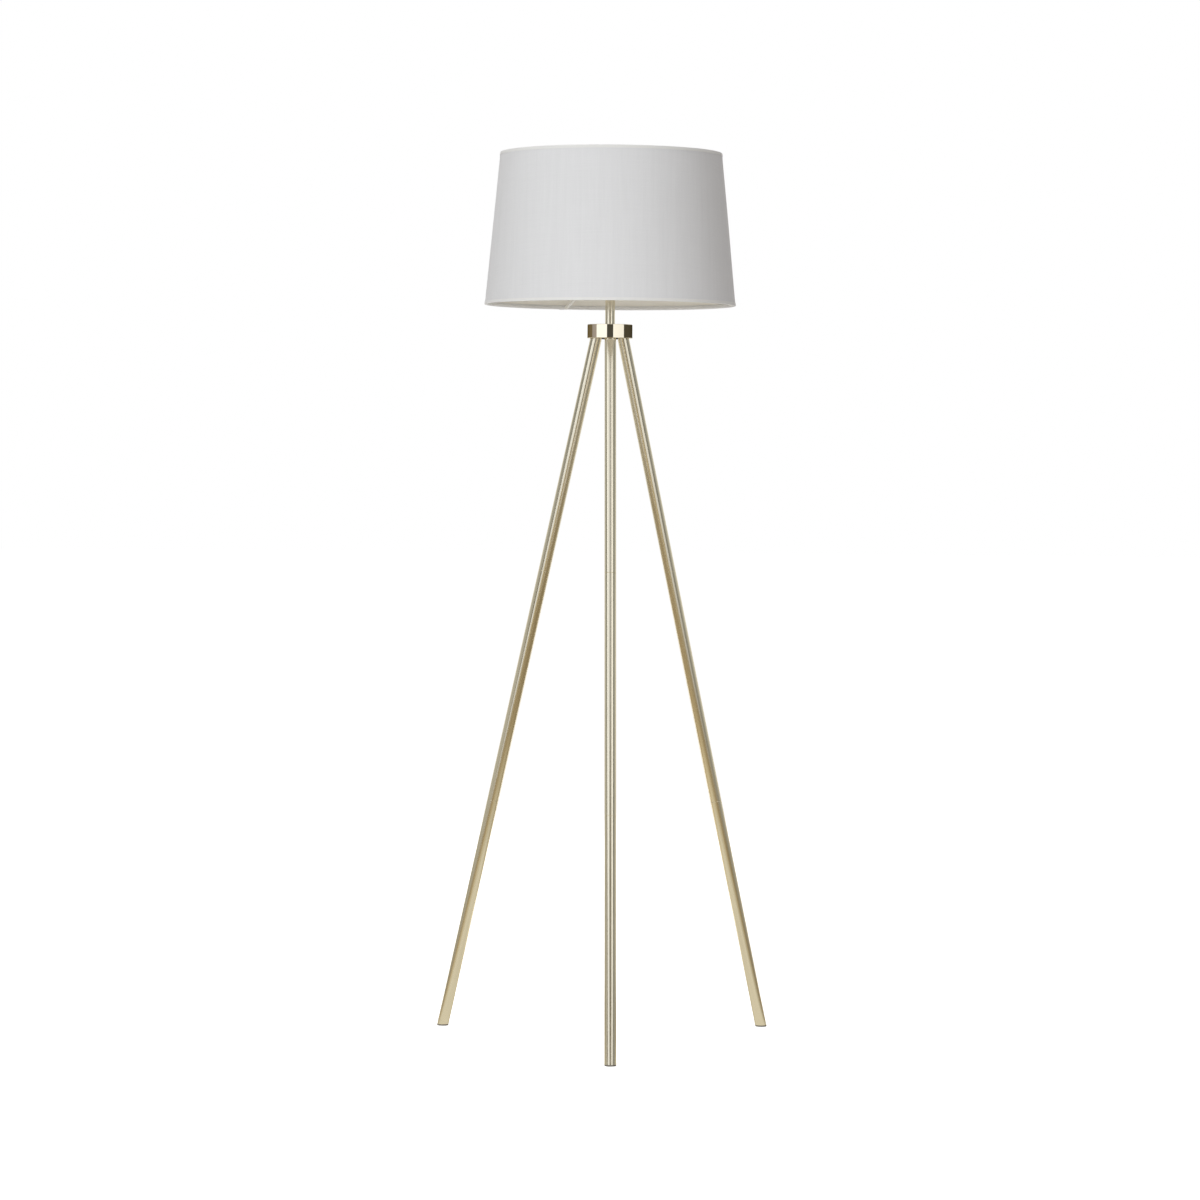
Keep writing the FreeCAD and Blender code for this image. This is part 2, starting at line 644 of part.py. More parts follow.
def bulb_body():
    """Flared plastic body between the cap and the globe."""
    middle_r = (BULB_BODY_NECK_R + BULB_BODY_R) / 2 + BULB_BODY_BULGE
    middle_z = (BULB_BODY_Z + BULB_RIM_Z) / 2
    wall = BULB_BODY_WALL
    return revolve((BULB_BODY_NECK_R - wall, BULB_BODY_Z),
                   (BULB_BODY_NECK_R, BULB_BODY_Z),
                   ((middle_r, middle_z), (BULB_BODY_R, BULB_RIM_Z)),
                   (BULB_BODY_R - wall, BULB_RIM_Z),
                   ((middle_r - wall, middle_z), (BULB_BODY_NECK_R - wall, BULB_BODY_Z)))


def bulb_globe():
    """Opal dome over the LED board."""
    inner_r = BULB_GLOBE_R - BULB_GLOBE_WALL
    drop = BULB_GLOBE_Z - BULB_RIM_Z
    inner_rim_r = math.sqrt(inner_r ** 2 - drop ** 2)
    diagonal = math.sqrt(0.5)
    outer_mid = (BULB_GLOBE_R * diagonal, BULB_GLOBE_Z + BULB_GLOBE_R * diagonal)
    inner_mid = (inner_r * diagonal, BULB_GLOBE_Z + inner_r * diagonal)
    return revolve((BULB_BODY_R, BULB_RIM_Z),
                   (outer_mid, (0, BULB_GLOBE_Z + BULB_GLOBE_R)),
                   (0, BULB_GLOBE_Z + inner_r),
                   (inner_mid, (inner_rim_r, BULB_RIM_Z)))


def led_board():
    """Round board that closes the top of the bulb's body."""
    board_r = BULB_BODY_R - BULB_BODY_WALL - LED_BOARD_GAP
    return rod(board_r, BULB_RIM_Z - LED_BOARD_HEIGHT, BULB_RIM_Z)


def led_chips():
    """Ring of LED chips on the board."""
    chip = box(LED_SIZE, (LED_RING_R, 0, BULB_RIM_Z + LED_SIZE[2] / 2))
    return group([turned(chip, 360 * index / LED_COUNT) for index in range(LED_COUNT)])


# ---- assembly ----------------------------------------------------------------------------
def save_legs():
    """Write the three legs, each with its tubes, joiners, sockets, head plug and foot."""
    pieces = {"joiners": leg_joiners(), "sockets": leg_sockets(), "head_plug": leg_head_plug(),
              "foot_pad": foot_pad()}
    for index, section in enumerate(LEG_SECTIONS):
        pieces[f"{section}_tube"] = leg_section(index)
    for leg, direction in LEG_DIRECTIONS.items():
        for piece, shape in pieces.items():
            save(f"{leg}_leg_{piece}", turned(shape, direction))


def save_shade():
    """Write the shade's skin, frame, hems and collar."""
    save("shade_fabric", shade_fabric())
    save("shade_liner", shade_liner())
    save("shade_top_hem", hem(SHADE_TOP_Z, -1))
    save("shade_bottom_hem", shade_bottom_hem())
    save("shade_top_wire", rim_wire(SHADE_TOP_Z, -1))
    save("shade_bottom_wire", rim_wire(SHADE_BASE_Z, 1))
    save("shade_fitter_ring", shade_fitter_ring())
    save("shade_collar", shade_collar())
    for number, direction in ARM_DIRECTIONS.items():
        save(f"shade_arm_{number}", turned(shade_arm(), direction))


def save_middle():
    """Write the hub, the pole and the lampholder."""
    save("hub_disc", hub_disc())
    save("hub_washer", hub_washer())
    save("hub_nut", hub_nut())
    save("cord_grommet", cord_grommet())
    save("threaded_pipe", threaded_pipe())
    save("pole_tube", pole_tube())
    save("pole_bushes", pole_bushes())
    save("pole_seat_ring", pole_seat_ring())
    save("holder_base", holder_base())
    save("holder_shell", holder_shell())
    save("holder_core", holder_core())
    save("holder_screw_shell", holder_screw_shell())
    save("holder_centre_contact", holder_centre_contact())
    save("holder_terminal_blocks", group([terminal_block(-1), terminal_block(1)]))
    save("holder_terminal_screws", group([terminal_screw(-1), terminal_screw(1)]))


def save_bulb():
    """Write the bulb."""
    save("bulb_eyelet", bulb_eyelet())
    save("bulb_insulator", bulb_insulator())
    save("bulb_cap", bulb_cap())
    save("bulb_body", bulb_body())
    save("bulb_globe", bulb_globe())
    save("bulb_led_board", led_board())
    save("bulb_led_chips", led_chips())


os.makedirs("parts", exist_ok=True)
save_legs()
save_middle()
save_shade()
save_bulb()
print(f"leg tilt {math.degrees(LEG_TILT):.3f} deg, head radius {LEG_HEAD_R:.3f}, hub radius {HUB_R:.3f}")
print(f"shade from {SHADE_BASE_Z:.1f} to {SHADE_TOP_Z:.1f}, section length {LEG_SECTION_LENGTH:.2f}")
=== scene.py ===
"""Looks of a tripod floor lamp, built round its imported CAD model.

The frame holds the metal, plastic and rubber pieces at their true size. This script gives each of
them its finish, models the cloth shade, its lining, bindings and spokes, and the bulb's screw cap,
and sets up the studio. Everything is in metres, +Z up, with the lamp's axis through the origin.
"""

import json
import logging
import math
from collections.abc import Iterator, Sequence
from contextlib import contextmanager
from dataclasses import dataclass, replace
from enum import Enum
from typing import NamedTuple

import bmesh
import bpy
from mathutils import Matrix, Vector

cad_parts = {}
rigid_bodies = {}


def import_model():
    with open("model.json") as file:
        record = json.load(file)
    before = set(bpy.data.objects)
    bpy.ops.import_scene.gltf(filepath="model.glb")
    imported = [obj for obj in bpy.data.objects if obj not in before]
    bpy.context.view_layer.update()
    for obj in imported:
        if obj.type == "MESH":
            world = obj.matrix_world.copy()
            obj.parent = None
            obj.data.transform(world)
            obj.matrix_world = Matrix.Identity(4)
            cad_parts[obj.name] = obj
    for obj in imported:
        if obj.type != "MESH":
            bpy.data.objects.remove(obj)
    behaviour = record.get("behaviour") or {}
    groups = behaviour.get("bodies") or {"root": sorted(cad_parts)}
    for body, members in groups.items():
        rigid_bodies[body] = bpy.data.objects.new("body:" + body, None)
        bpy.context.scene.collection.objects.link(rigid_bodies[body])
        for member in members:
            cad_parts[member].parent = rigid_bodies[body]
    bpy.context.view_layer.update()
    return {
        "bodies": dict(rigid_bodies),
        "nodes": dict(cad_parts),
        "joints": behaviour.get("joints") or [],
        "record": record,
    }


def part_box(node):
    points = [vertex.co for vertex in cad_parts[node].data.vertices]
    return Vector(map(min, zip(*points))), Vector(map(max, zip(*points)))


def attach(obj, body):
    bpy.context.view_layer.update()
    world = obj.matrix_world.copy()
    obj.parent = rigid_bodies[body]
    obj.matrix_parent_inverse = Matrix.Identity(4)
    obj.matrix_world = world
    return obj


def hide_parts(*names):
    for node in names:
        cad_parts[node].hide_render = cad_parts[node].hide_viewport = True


LOG = logging.getLogger("lamp")
MM = 0.001
FULL_TURN = 2 * math.pi
SAME_LEVEL = 0.05 * MM

Colour = tuple[float, float, float]
Between = tuple[float, float]
Outline = Sequence[tuple[float, float]]
Socket = bpy.types.NodeSocket


class Body(Enum):
    """Rigid groups that the modelled pieces move with."""

    SHADE = "shade"
    BULB = "bulb"


class Slot(Enum):
    """Names of the record's material slots for the modelled pieces; nothing in this script reads them.
    """

    CLOTH = "shade_cloth"
    LINING = "shade_lining"
    WHITE_PAINT = "white_paint"
    NICKEL = "nickel"


class Grain(Enum):
    """Where a pattern takes its place from."""

    OBJECT = "Object"
    FLAT_CUT = "UV"


@dataclass(frozen=True)
class Span:
    """Heights and radii of a round CAD node about the lamp's axis."""

    low: float
    high: float
    low_radius: float
    high_radius: float

    @classmethod
    def of(cls, node: str, frame: dict) -> "Span":
        """Measures a node of the frame.

        Args:
            node: The CAD node's name.

        Returns:
            Its lowest and highest levels, and its outer radius at each.
        """
        low, high = (corner.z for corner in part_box(node))
        reach = {low: 0.0, high: 0.0}
        for vertex in frame["nodes"][node].data.vertices:
            for level in reach:
                if abs(vertex.co.z - level) < SAME_LEVEL:
                    reach[level] = max(reach[level], vertex.co.xy.length)
        return cls(low, high, reach[low], reach[high])

    @property
    def height(self) -> float:
        """Upright distance between the two levels."""
        return self.high - self.low

    def radius(self, level: float) -> float:
        """Outer radius at a level, on the straight line through both ends."""
        share = (level - self.low) / self.height
        return self.low_radius + (self.high_radius - self.low_radius) * share


# ---- finishes ------------------------------------------------------------------------------


@dataclass(frozen=True)
class Pattern:
    """Soft random pattern: its cells per metre along each axis, and how fine and rough it is."""

    scale: tuple[float, float, float]
    detail: float = 3.0
    roughness: float = 0.6
    grain: Grain = Grain.OBJECT


def shade_of(colour: Colour, factor: float, most: float = 1.0) -> Colour:
    """A colour made lighter or darker, with no channel past a limit."""
    return tuple(min(most, channel * factor) for channel in colour)


class Sketch:
    """The node tree of a material or of the world, drawn node by node."""

    WAVE_UNIT = FULL_TURN / 20  # scale at which a wave texture has one band per unit
    MIX_ENDS = (6, 7)  # a Mix node's two colour inputs
    MIX_RESULT = 2  # and its colour output

    def __init__(self, owner: bpy.types.Material | bpy.types.World,
                 output: str = "ShaderNodeOutputMaterial") -> None:
        """Clears the owner's nodes and adds an output.

        Args:
            owner: The material or the world.
            output: Kind of its output node.
        """
        owner.use_nodes = True
        self.tree = owner.node_tree
        self.tree.nodes.clear()
        self.output = self.add(output)

    def surface(self, shader: bpy.types.Node) -> None:
        """Sends a shader to the output."""
        self.tree.links.new(shader.outputs[0], self.output.inputs["Surface"])

    def add(self, kind: str, **settings: object) -> bpy.types.Node:
        """Adds a node.

        Args:
            kind: The node's type.
            settings: Its properties.

        Returns:
            The node.
        """
        node = self.tree.nodes.new(kind)
        for key, value in settings.items():
            setattr(node, key, value)
        return node

    def feed(self, node: bpy.types.Node, **inputs: object) -> bpy.types.Node:
        """Fills a node's inputs with values or links.

        Args:
            node: The node to fill.
            inputs: Socket names with underscores for spaces, and a socket or a value for each.

        Returns:
            The same node.
        """
        for key, value in inputs.items():
            socket = node.inputs[key.replace("_", " ")]
            if isinstance(value, Socket):
                self.tree.links.new(value, socket)
            else:
                socket.default_value = (*value, 1.0) if socket.type == "RGBA" else value
        return node

    def wire(self, node: bpy.types.Node, *sources: Socket) -> bpy.types.Node:
        """Links sources to a node's first inputs.

        Args:
            node: The node to fill.
            sources: One socket for each input, in order.

        Returns:
            The same node.
        """
        for source, socket in zip(sources, node.inputs):
            self.tree.links.new(source, socket)
        return node

    def place(self, scale: Sequence[float], grain: Grain = Grain.OBJECT,
              turn: Matrix | None = None) -> Socket:
        """Coordinates of the surface, turned to the pattern's grain and scaled.

        Args:
            scale: Pattern cells per metre along each axis.
            grain: Object coordinates or the piece's own flat cut.
            turn: Rotation that brings the grain upright, if it leans.

        Returns:
            The scaled vector.
        """
        here = self.add("ShaderNodeTexCoord").outputs[grain.value]
        lean = [] if turn is None else [{"Rotation": turn.to_euler()}]
        for step in (*lean, {"Scale": scale}):
            mapping = self.add("ShaderNodeMapping", vector_type="VECTOR")
            here = self.feed(mapping, Vector=here, **step).outputs["Vector"]
        return here

    def noise(self, pattern: Pattern, turn: Matrix | None = None,
              at: Socket | None = None) -> Socket:
        """Soft random value about 0.5.

        Args:
            pattern: Its cells and how fine and rough it is.
            turn: Rotation that brings its grain upright, if it leans.
            at: Coordinates in cells, in place of the pattern's own.

        Returns:
            The value.
        """
        if at is None:
            at = self.place(pattern.scale, pattern.grain, turn)
        node = self.add("ShaderNodeTexNoise", noise_dimensions="3D")
        self.feed(node, Vector=at, Scale=1.0, Detail=pattern.detail, Roughness=pattern.roughness)
        return node.outputs["Fac"]

    def bands(self, vector: Socket, direction: str) -> Socket:
        """Even sine bands from 0 to 1, one per unit of the vector."""
        node = self.add("ShaderNodeTexWave", bands_direction=direction)
        return self.feed(node, Vector=vector, Scale=self.WAVE_UNIT, Distortion=0.0).outputs["Fac"]

    def span(self, value: Socket, low: float, high: float,
             start: float = 0.25, end: float = 0.75) -> Socket:
        """Maps a value from start..end to low..high."""
        node = self.wire(self.add("ShaderNodeMapRange"), value)
        return self.feed(node, From_Min=start, From_Max=end, To_Min=low, To_Max=high).outputs["Result"]

    def about(self, pattern: Socket, value: float, reach: Between) -> Socket:
        """Number that a pattern takes a little under and over a value."""
        return self.span(pattern, value + reach[0], value + reach[1])

    def sum(self, first: Socket, second: Socket, operation: str = "ADD") -> Socket:
        """Joins two values by a math operation."""
        node = self.add("ShaderNodeMath", operation=operation)
        return self.wire(node, first, second).outputs["Value"]

    def blend(self, factor: Socket, *ends: Colour) -> Socket:
        """Colour between two.

        Args:
            factor: 0 for the first and 1 for the second.
            ends: The two colours.

        Returns:
            The colour.
        """
        node = self.wire(self.add("ShaderNodeMix", data_type="RGBA"), factor)
        for index, colour in zip(self.MIX_ENDS, ends):
            node.inputs[index].default_value = (*colour, 1.0)
        return node.outputs[self.MIX_RESULT]

    def mottled(self, pattern: Socket, colour: Colour, shares: Between) -> Socket:
        """Colour that a pattern multiplies by the first share at 0 and by the second at 1."""
        return self.blend(pattern, *(shade_of(colour, share) for share in shares))

    def bump(self, height: Socket, depth: float) -> Socket:
        """Normal of a surface that a height map raises, to a depth in metres."""
        node = self.add("ShaderNodeBump")
        return self.feed(node, Height=height, Strength=1.0, Distance=depth).outputs["Normal"]


@dataclass(frozen=True)
class Finish:
    """What a surface is made of."""

    def material(self, name: str) -> bpy.types.Material:
        """Builds the finish with one principled shader.

        Args:
            name: Name of the new material.

        Returns:
            The material.
        """
        material = bpy.data.materials.new(name)
        sketch = Sketch(material)
        shader = sketch.add("ShaderNodeBsdfPrincipled")
        sketch.surface(sketch.feed(shader, **self.inputs(sketch)))
        return material

    def inputs(self, sketch: Sketch) -> dict[str, object]:
        """Patterns and numbers of the shader's inputs, by their names."""
        raise NotImplementedError


@dataclass(frozen=True)
class GoldPlate(Finish):
    """Polished pale gold plating, with faint polishing lines along the tube."""

    colour: Colour = (0.86, 0.80, 0.65)
    edge: Colour = (0.62, 0.56, 0.42)
    roughness: float = 0.17
    line_depth: float = 0.0002 * MM
    turn: Matrix | None = None
    lines: Pattern = Pattern((1400, 1400, 9))
    clouds: Pattern = Pattern((45, 45, 11), roughness=0.55)
    mottle: Between = (0.97, 1.03)
    wear: Between = (-0.03, 0.03)
    rubbing: Between = (-0.02, 0.03)

    def inputs(self, sketch: Sketch) -> dict[str, object]:
        """Clouded plating, rubbed along its grain.

        Args:
            sketch: Where the nodes go.

        Returns:
            The shader's inputs.
        """
        lines = sketch.noise(self.lines, self.turn)
        clouds = sketch.noise(self.clouds, self.turn)
        worn = sketch.sum(sketch.about(clouds, self.roughness, self.wear),
                          sketch.span(lines, *self.rubbing))
        return {"Base Color": sketch.mottled(clouds, self.colour, self.mottle), "Metallic": 1.0,
                "Roughness": worn, "Specular Tint": self.edge,
                "Normal": sketch.bump(lines, self.line_depth)}


@dataclass(frozen=True)
class TurnedMetal(Finish):
    """Bare or plated metal with fine lathe rings about the lamp's axis."""

    colour: Colour
    tint: Colour
    roughness: float = 0.25
    rings: Pattern = Pattern((2600, 2600, 2600), 2.0, 0.5)
    ring_depth: float = 0.004 * MM
    clouds: Pattern = Pattern((160, 160, 160))
    wear: Between = (-0.05, 0.08)

    def inputs(self, sketch: Sketch) -> dict[str, object]:
        """Clouded metal with rings.

        Args:
            sketch: Where the nodes go.

        Returns:
            The shader's inputs.
        """
        rings = sketch.noise(self.rings, at=self._ring_place(sketch))
        clouds = sketch.noise(self.clouds)
        return {"Base Color": sketch.blend(clouds, self.colour, self.tint), "Metallic": 1.0,
                "Roughness": sketch.about(clouds, self.roughness, self.wear),
                "Normal": sketch.bump(rings, self.ring_depth)}

    def _ring_place(self, sketch: Sketch) -> Socket:
        """Coordinates that change only with the distance from the axis and the level.

        Args:
            sketch: Where the nodes go.

        Returns:
            The vector, in cells of the rings.
        """
        across, deep, up = self.rings.scale
        reach = sketch.add("ShaderNodeVectorMath", operation="LENGTH")
        sketch.wire(reach, sketch.place((across, deep, 0)))
        level = sketch.wire(sketch.add("ShaderNodeSeparateXYZ"), sketch.place((0, 0, up)))
        both = sketch.add("ShaderNodeCombineXYZ")
        sketch.feed(both, X=reach.outputs["Value"], Z=level.outputs["Z"])
        return both.outputs["Vector"]


@dataclass(frozen=True)
class Moulded(Finish):
    """Moulded plastic or rubber with a fine spark-eroded skin."""

    colour: Colour
    roughness: float
    grains_per_metre: float = 4200.0
    grain_depth: float = 0.006 * MM
    subsurface: float = 0.0
    mottle: float = 0.04
    flow: Pattern = Pattern((70, 70, 40), roughness=0.5)
    wear: Between = (-0.04, 0.05)
    sparkle: Between = (-0.03, 0.03)
    glow_depth: float = 3 * MM
    glow_reach: Colour = (1.0, 0.9, 0.8)

    def inputs(self, sketch: Sketch) -> dict[str, object]:
        """Plastic with the marks of its flow and a fine grain.

        Args:
            sketch: Where the nodes go.

        Returns:
            The shader's inputs.
        """
        grain = sketch.noise(Pattern((self.grains_per_metre,) * 3, 1.0, 0.5))
        flow = sketch.noise(self.flow)
        rough = sketch.sum(sketch.about(flow, self.roughness, self.wear),
                           sketch.span(grain, *self.sparkle))
        tone = sketch.mottled(flow, self.colour, (1 - self.mottle, 1 + self.mottle))
        return {"Base Color": tone, "Roughness": rough, "Subsurface Weight": self.subsurface,
                "Subsurface Scale": self.glow_depth, "Subsurface Radius": self.glow_reach,
                "Normal": sketch.bump(grain, self.grain_depth)}


@dataclass(frozen=True)
class PowderCoat(Finish):
    """Baked powder paint with its soft orange-peel skin."""

    colour: Colour = (0.84, 0.82, 0.76)
    roughness: float = 0.42
    peel_depth: float = 0.03 * MM
    peel: Pattern = Pattern((650, 650, 650), 1.5, 0.45)
    dust: Pattern = Pattern((35, 35, 60), 4.0)
    mottle: Between = (0.95, 1.02)
    wear: Between = (-0.06, 0.08)
    coat: float = 0.15
    coat_roughness: float = 0.25

    def inputs(self, sketch: Sketch) -> dict[str, object]:
        """Paint with a thin clear skin.

        Args:
            sketch: Where the nodes go.

        Returns:
            The shader's inputs.
        """
        dust = sketch.noise(self.dust)
        return {"Base Color": sketch.mottled(dust, self.colour, self.mottle),
                "Roughness": sketch.about(dust, self.roughness, self.wear),
                "Coat Weight": self.coat, "Coat Roughness": self.coat_roughness,
                "Normal": sketch.bump(sketch.noise(self.peel), self.peel_depth)}


@dataclass(frozen=True)
class WovenCloth(Finish):
    """Fine plain-weave cloth whose thicker threads show as faint upright streaks, with painted shade
    in its weave.
    """

    colour: Colour = (0.735, 0.735, 0.738)
    thread_pitch: float = 0.55 * MM
    thread_depth: float = 0.05 * MM
    streak: float = 0.035
    warp: Pattern = Pattern((620, 14, 1), 3.0, 0.7, Grain.FLAT_CUT)
    broad: Pattern = Pattern((120, 4, 1), 2.0, 0.6, Grain.FLAT_CUT)
    weft: Pattern = Pattern((11, 700, 1), 3.0, 0.7, Grain.FLAT_CUT)
    # painted shade and highlight: share by which the weave's height darkens the colour in its hollows
    # and lightens it on its crossings
    weave_painted_shade: float = 0.35
    slub_height: float = 1.4
    roughness: Between = (0.78, 0.92)
    sheen: float = 0.25
    sheen_roughness: float = 0.45
    gloss: float = 0.25

    def inputs(self, sketch: Sketch) -> dict[str, object]:
        """Cloth that reads its threads from the flat cut.

        Args:
            sketch: Where the nodes go.

        Returns:
            The shader's inputs.
        """
        weave = self._weave(sketch)
        warp, broad, weft = (sketch.noise(threads) for threads in (self.warp, self.broad, self.weft))
        streaks = sketch.sum(sketch.sum(warp, broad), weft)
        # painted light: the weave's height shades the colour, darker between the threads and lighter
        # on their crossings; the streaks are the threads' own tone
        weave_painted_light = sketch.span(weave, -self.weave_painted_shade, self.weave_painted_shade, 0.0, 1.0)
        streaks_and_weave_shade = sketch.sum(sketch.span(streaks, 0.0, 1.0, 1.0, 2.0), weave_painted_light)
        tone = sketch.mottled(streaks_and_weave_shade, self.colour, (1 - self.streak, 1 + self.streak))
        slubs = sketch.span(streaks, 0.0, self.slub_height, 1.0, 2.0)
        return {"Base Color": tone, "Roughness": sketch.span(weave, *self.roughness, 0.0, 1.0),
                "Sheen Weight": self.sheen, "Sheen Roughness": self.sheen_roughness,
                "Specular IOR Level": self.gloss,
                "Normal": sketch.bump(sketch.sum(weave, slubs), self.thread_depth)}

    def _weave(self, sketch: Sketch) -> Socket:
        """Over-and-under height of a plain weave.

        Args:
            sketch: Where the nodes go.

        Returns:
            The height, from 0 to 1.
        """
        cells = 0.5 / self.thread_pitch
        threads = sketch.place((cells, cells, 1), Grain.FLAT_CUT)
        across, along = (sketch.span(sketch.bands(threads, way), -1.0, 1.0, 0.0, 1.0)
                         for way in ("X", "Y"))
        return sketch.span(sketch.sum(across, along, "MULTIPLY"), 0.0, 1.0, -1.0, 1.0)


@dataclass(frozen=True)
class LiningFilm(Finish):
    """Thin warm-white plastic film that stiffens the shade from inside."""

    colour: Colour = (0.92, 0.89, 0.81)
    roughness: float = 0.48
    ripple_depth: float = 0.05 * MM
    threads: Pattern = Pattern((500, 30, 1), grain=Grain.FLAT_CUT)
    ripples: Pattern = Pattern((60, 22, 1), roughness=0.55, grain=Grain.FLAT_CUT)
    mottle: Between = (0.97, 1.03)
    wear: Between = (-0.05, 0.06)
    thread_height: Between = (0.0, 0.2)
    gloss: float = 0.4

    def inputs(self, sketch: Sketch) -> dict[str, object]:
        """Rippled film, with the threads of the cloth pressed through.

        Args:
            sketch: Where the nodes go.

        Returns:
            The shader's inputs.
        """
        threads = sketch.noise(self.threads)
        ripples = sketch.noise(self.ripples)
        height = sketch.sum(ripples, sketch.span(threads, *self.thread_height))
        return {"Base Color": sketch.mottled(ripples, self.colour, self.mottle),
                "Roughness": sketch.about(threads, self.roughness, self.wear),
                "Specular IOR Level": self.gloss,
                "Normal": sketch.bump(height, self.ripple_depth)}


ZINC = TurnedMetal((0.60, 0.61, 0.62), (0.66, 0.66, 0.62), 0.30)
BRASS = TurnedMetal((0.70, 0.53, 0.26), (0.62, 0.46, 0.22), 0.28)
NICKEL = TurnedMetal((0.70, 0.69, 0.66), (0.62, 0.61, 0.58), 0.20)
BLACK_PLASTIC = Moulded((0.022, 0.022, 0.023), 0.38)
WHITE_PLASTIC = Moulded((0.80, 0.80, 0.77), 0.36, subsurface=0.08)
FOOT_RUBBER = Moulded((0.21, 0.19, 0.16), 0.70, 2600.0, 0.02 * MM)
OPAL = Moulded((0.86, 0.86, 0.84), 0.30, 3000.0, 0.003 * MM, subsurface=0.6, mottle=0.01)
INSULATION = Moulded((0.012, 0.012, 0.014), 0.16, 1500.0, 0.002 * MM)
BOARD_COAT = Moulded((0.82, 0.83, 0.82), 0.50, 2000.0, 0.004 * MM)
PHOSPHOR = Moulded((0.86, 0.66, 0.10), 0.55, 3500.0, 0.01 * MM, mottle=0.08)


# ---- workshop ------------------------------------------------------------------------------


def clear_selection() -> None:
    """Leaves nothing selected, so that an operator works only on what it is given."""
    bpy.ops.object.select_all(action="DESELECT")


def pick(piece: bpy.types.Object) -> None:
    """Selects one piece alone and makes it the active one.

    Args:
        piece: The piece that the next operator works on.
    """
    clear_selection()
    piece.select_set(True)
    bpy.context.view_layer.objects.active = piece


def take(name: str) -> bpy.types.Object:
    """Names the piece that an operator has just made.

    Args:
        name: Its name, which its mesh gets too.

    Returns:
        The piece.
    """
    piece = bpy.context.active_object
    piece.name = name
    piece.data.name = name
    return piece


@contextmanager
def editing(piece: bpy.types.Object) -> Iterator[bmesh.types.BMesh]:
    """Opens a piece in edit mode with all of it selected, and leaves edit mode at the end.

    Args:
        piece: The piece to edit.

    Yields:
        Its mesh.
    """
    pick(piece)
    bpy.ops.object.mode_set(mode="EDIT")
    bpy.ops.mesh.select_all(action="SELECT")
    try:
        yield bmesh.from_edit_mesh(piece.data)
    finally:
        bpy.ops.object.mode_set(mode="OBJECT")


def draw_line(name: str, points: Outline) -> bpy.types.Object:
    """Extrudes a single vertex through points of radius and level, in the plane of X and Z.

    Args:
        name: Name of the new piece.
        points: The line's points.

    Returns:
        The line, with its place in its mesh.
    """
    clear_selection()
    bpy.ops.mesh.primitive_plane_add(size=MM, location=(points[0][0], 0, points[0][1]))
    piece = take(name)
    with editing(piece):
        bpy.ops.mesh.select_mode(type="VERT")
        bpy.ops.mesh.select_all(action="SELECT")
        bpy.ops.mesh.merge(type="CENTER")
        for here, there in zip(points, points[1:]):
            step = (there[0] - here[0], 0, there[1] - here[1])
            bpy.ops.mesh.extrude_vertices_move(TRANSFORM_OT_translate={"value": step})
    bpy.ops.object.transform_apply(location=True, rotation=True, scale=True)
    return piece


def apply_modifier(piece: bpy.types.Object, kind: str, **settings: object) -> None:
    """Adds a modifier and applies it.

    Args:
        piece: The piece that it changes.
        kind: The modifier's type.
        settings: Its properties.
    """
    pick(piece)
    modifier = piece.modifiers.new(kind.lower(), kind)
    for key, value in settings.items():
        setattr(modifier, key, value)
    bpy.ops.object.modifier_apply(modifier=modifier.name)


def settle(piece: bpy.types.Object, smooth_degrees: float = 40.0) -> None:
    """Puts a piece's place into its mesh and shades its soft edges smooth.

    Args:
        piece: The finished piece.
        smooth_degrees: Angle up to which an edge is soft.
    """
    pick(piece)
    bpy.ops.object.transform_apply(location=True, rotation=True, scale=True)
    bpy.ops.object.shade_smooth_by_angle(angle=math.radians(smooth_degrees))


def hand_over(piece: bpy.types.Object, body: Body, material: bpy.types.Material,
              stands_for: str) -> None:
    """Dresses a finished piece and hangs it on its body.

    Args:
        piece: The finished piece.
        body: The rigid group that it moves with.
        material: Its finish.
        stands_for: CAD node that it is shown in place of.
    """
    piece.data.materials.clear()
    piece.data.materials.append(material)
    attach(piece, body.value)
    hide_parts(stands_for)
    LOG.info("modelled %s on %s, %d faces", piece.name, body.value, len(piece.data.polygons))


@dataclass
class SubAssembly:
    """A group of pieces that share a job, with access to the frame."""

    frame: dict

    def dress(self, material: bpy.types.Material, *nodes: str) -> None:
        """Gives CAD nodes their finish.

        Args:
            material: The finish.
            nodes: Names of the nodes.
        """
        for node in nodes:
            for slot in self.frame["nodes"][node].material_slots:
                slot.material = material
            LOG.info("dressed %s in %s", node, material.name)

    def build(self) -> None:
        """Models the pieces that the frame holds only as plain solids."""

    def finish(self) -> None:
        """Gives the frame's own pieces their finish."""


# ---- stand ---------------------------------------------------------------------------------


@dataclass
class Legs(SubAssembly):
    """Three legs, each of three screwed lengths of tube with a rubber foot."""

    sides: tuple[str, ...] = ("front", "left", "right")
    sections: tuple[str, ...] = ("lower", "middle", "upper")
    plating: GoldPlate = GoldPlate()

    def grain_of(self, side: str) -> Matrix:
        """Rotation that stands one leaning leg upright."""
        foot, head = (sum(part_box(f"{side}_leg_{end}"), Vector()) / 2
                      for end in ("foot_pad", "head_plug"))
        return (head - foot).rotation_difference(Vector((0, 0, 1))).to_matrix()

    def finish(self) -> None:
        """Plates the tubes along their own grain, and dresses the hidden hardware and feet."""
        zinc = ZINC.material("leg_hardware_zinc")
        rubber = FOOT_RUBBER.material("foot_rubber")
        for side in self.sides:
            gold = replace(self.plating, turn=self.grain_of(side)).material(f"{side}_leg_gold")
            self.dress(gold, *(f"{side}_leg_{section}_tube" for section in self.sections))
            self.dress(zinc, f"{side}_leg_joiners", f"{side}_leg_sockets", f"{side}_leg_head_plug")
            self.dress(rubber, f"{side}_leg_foot_pad")


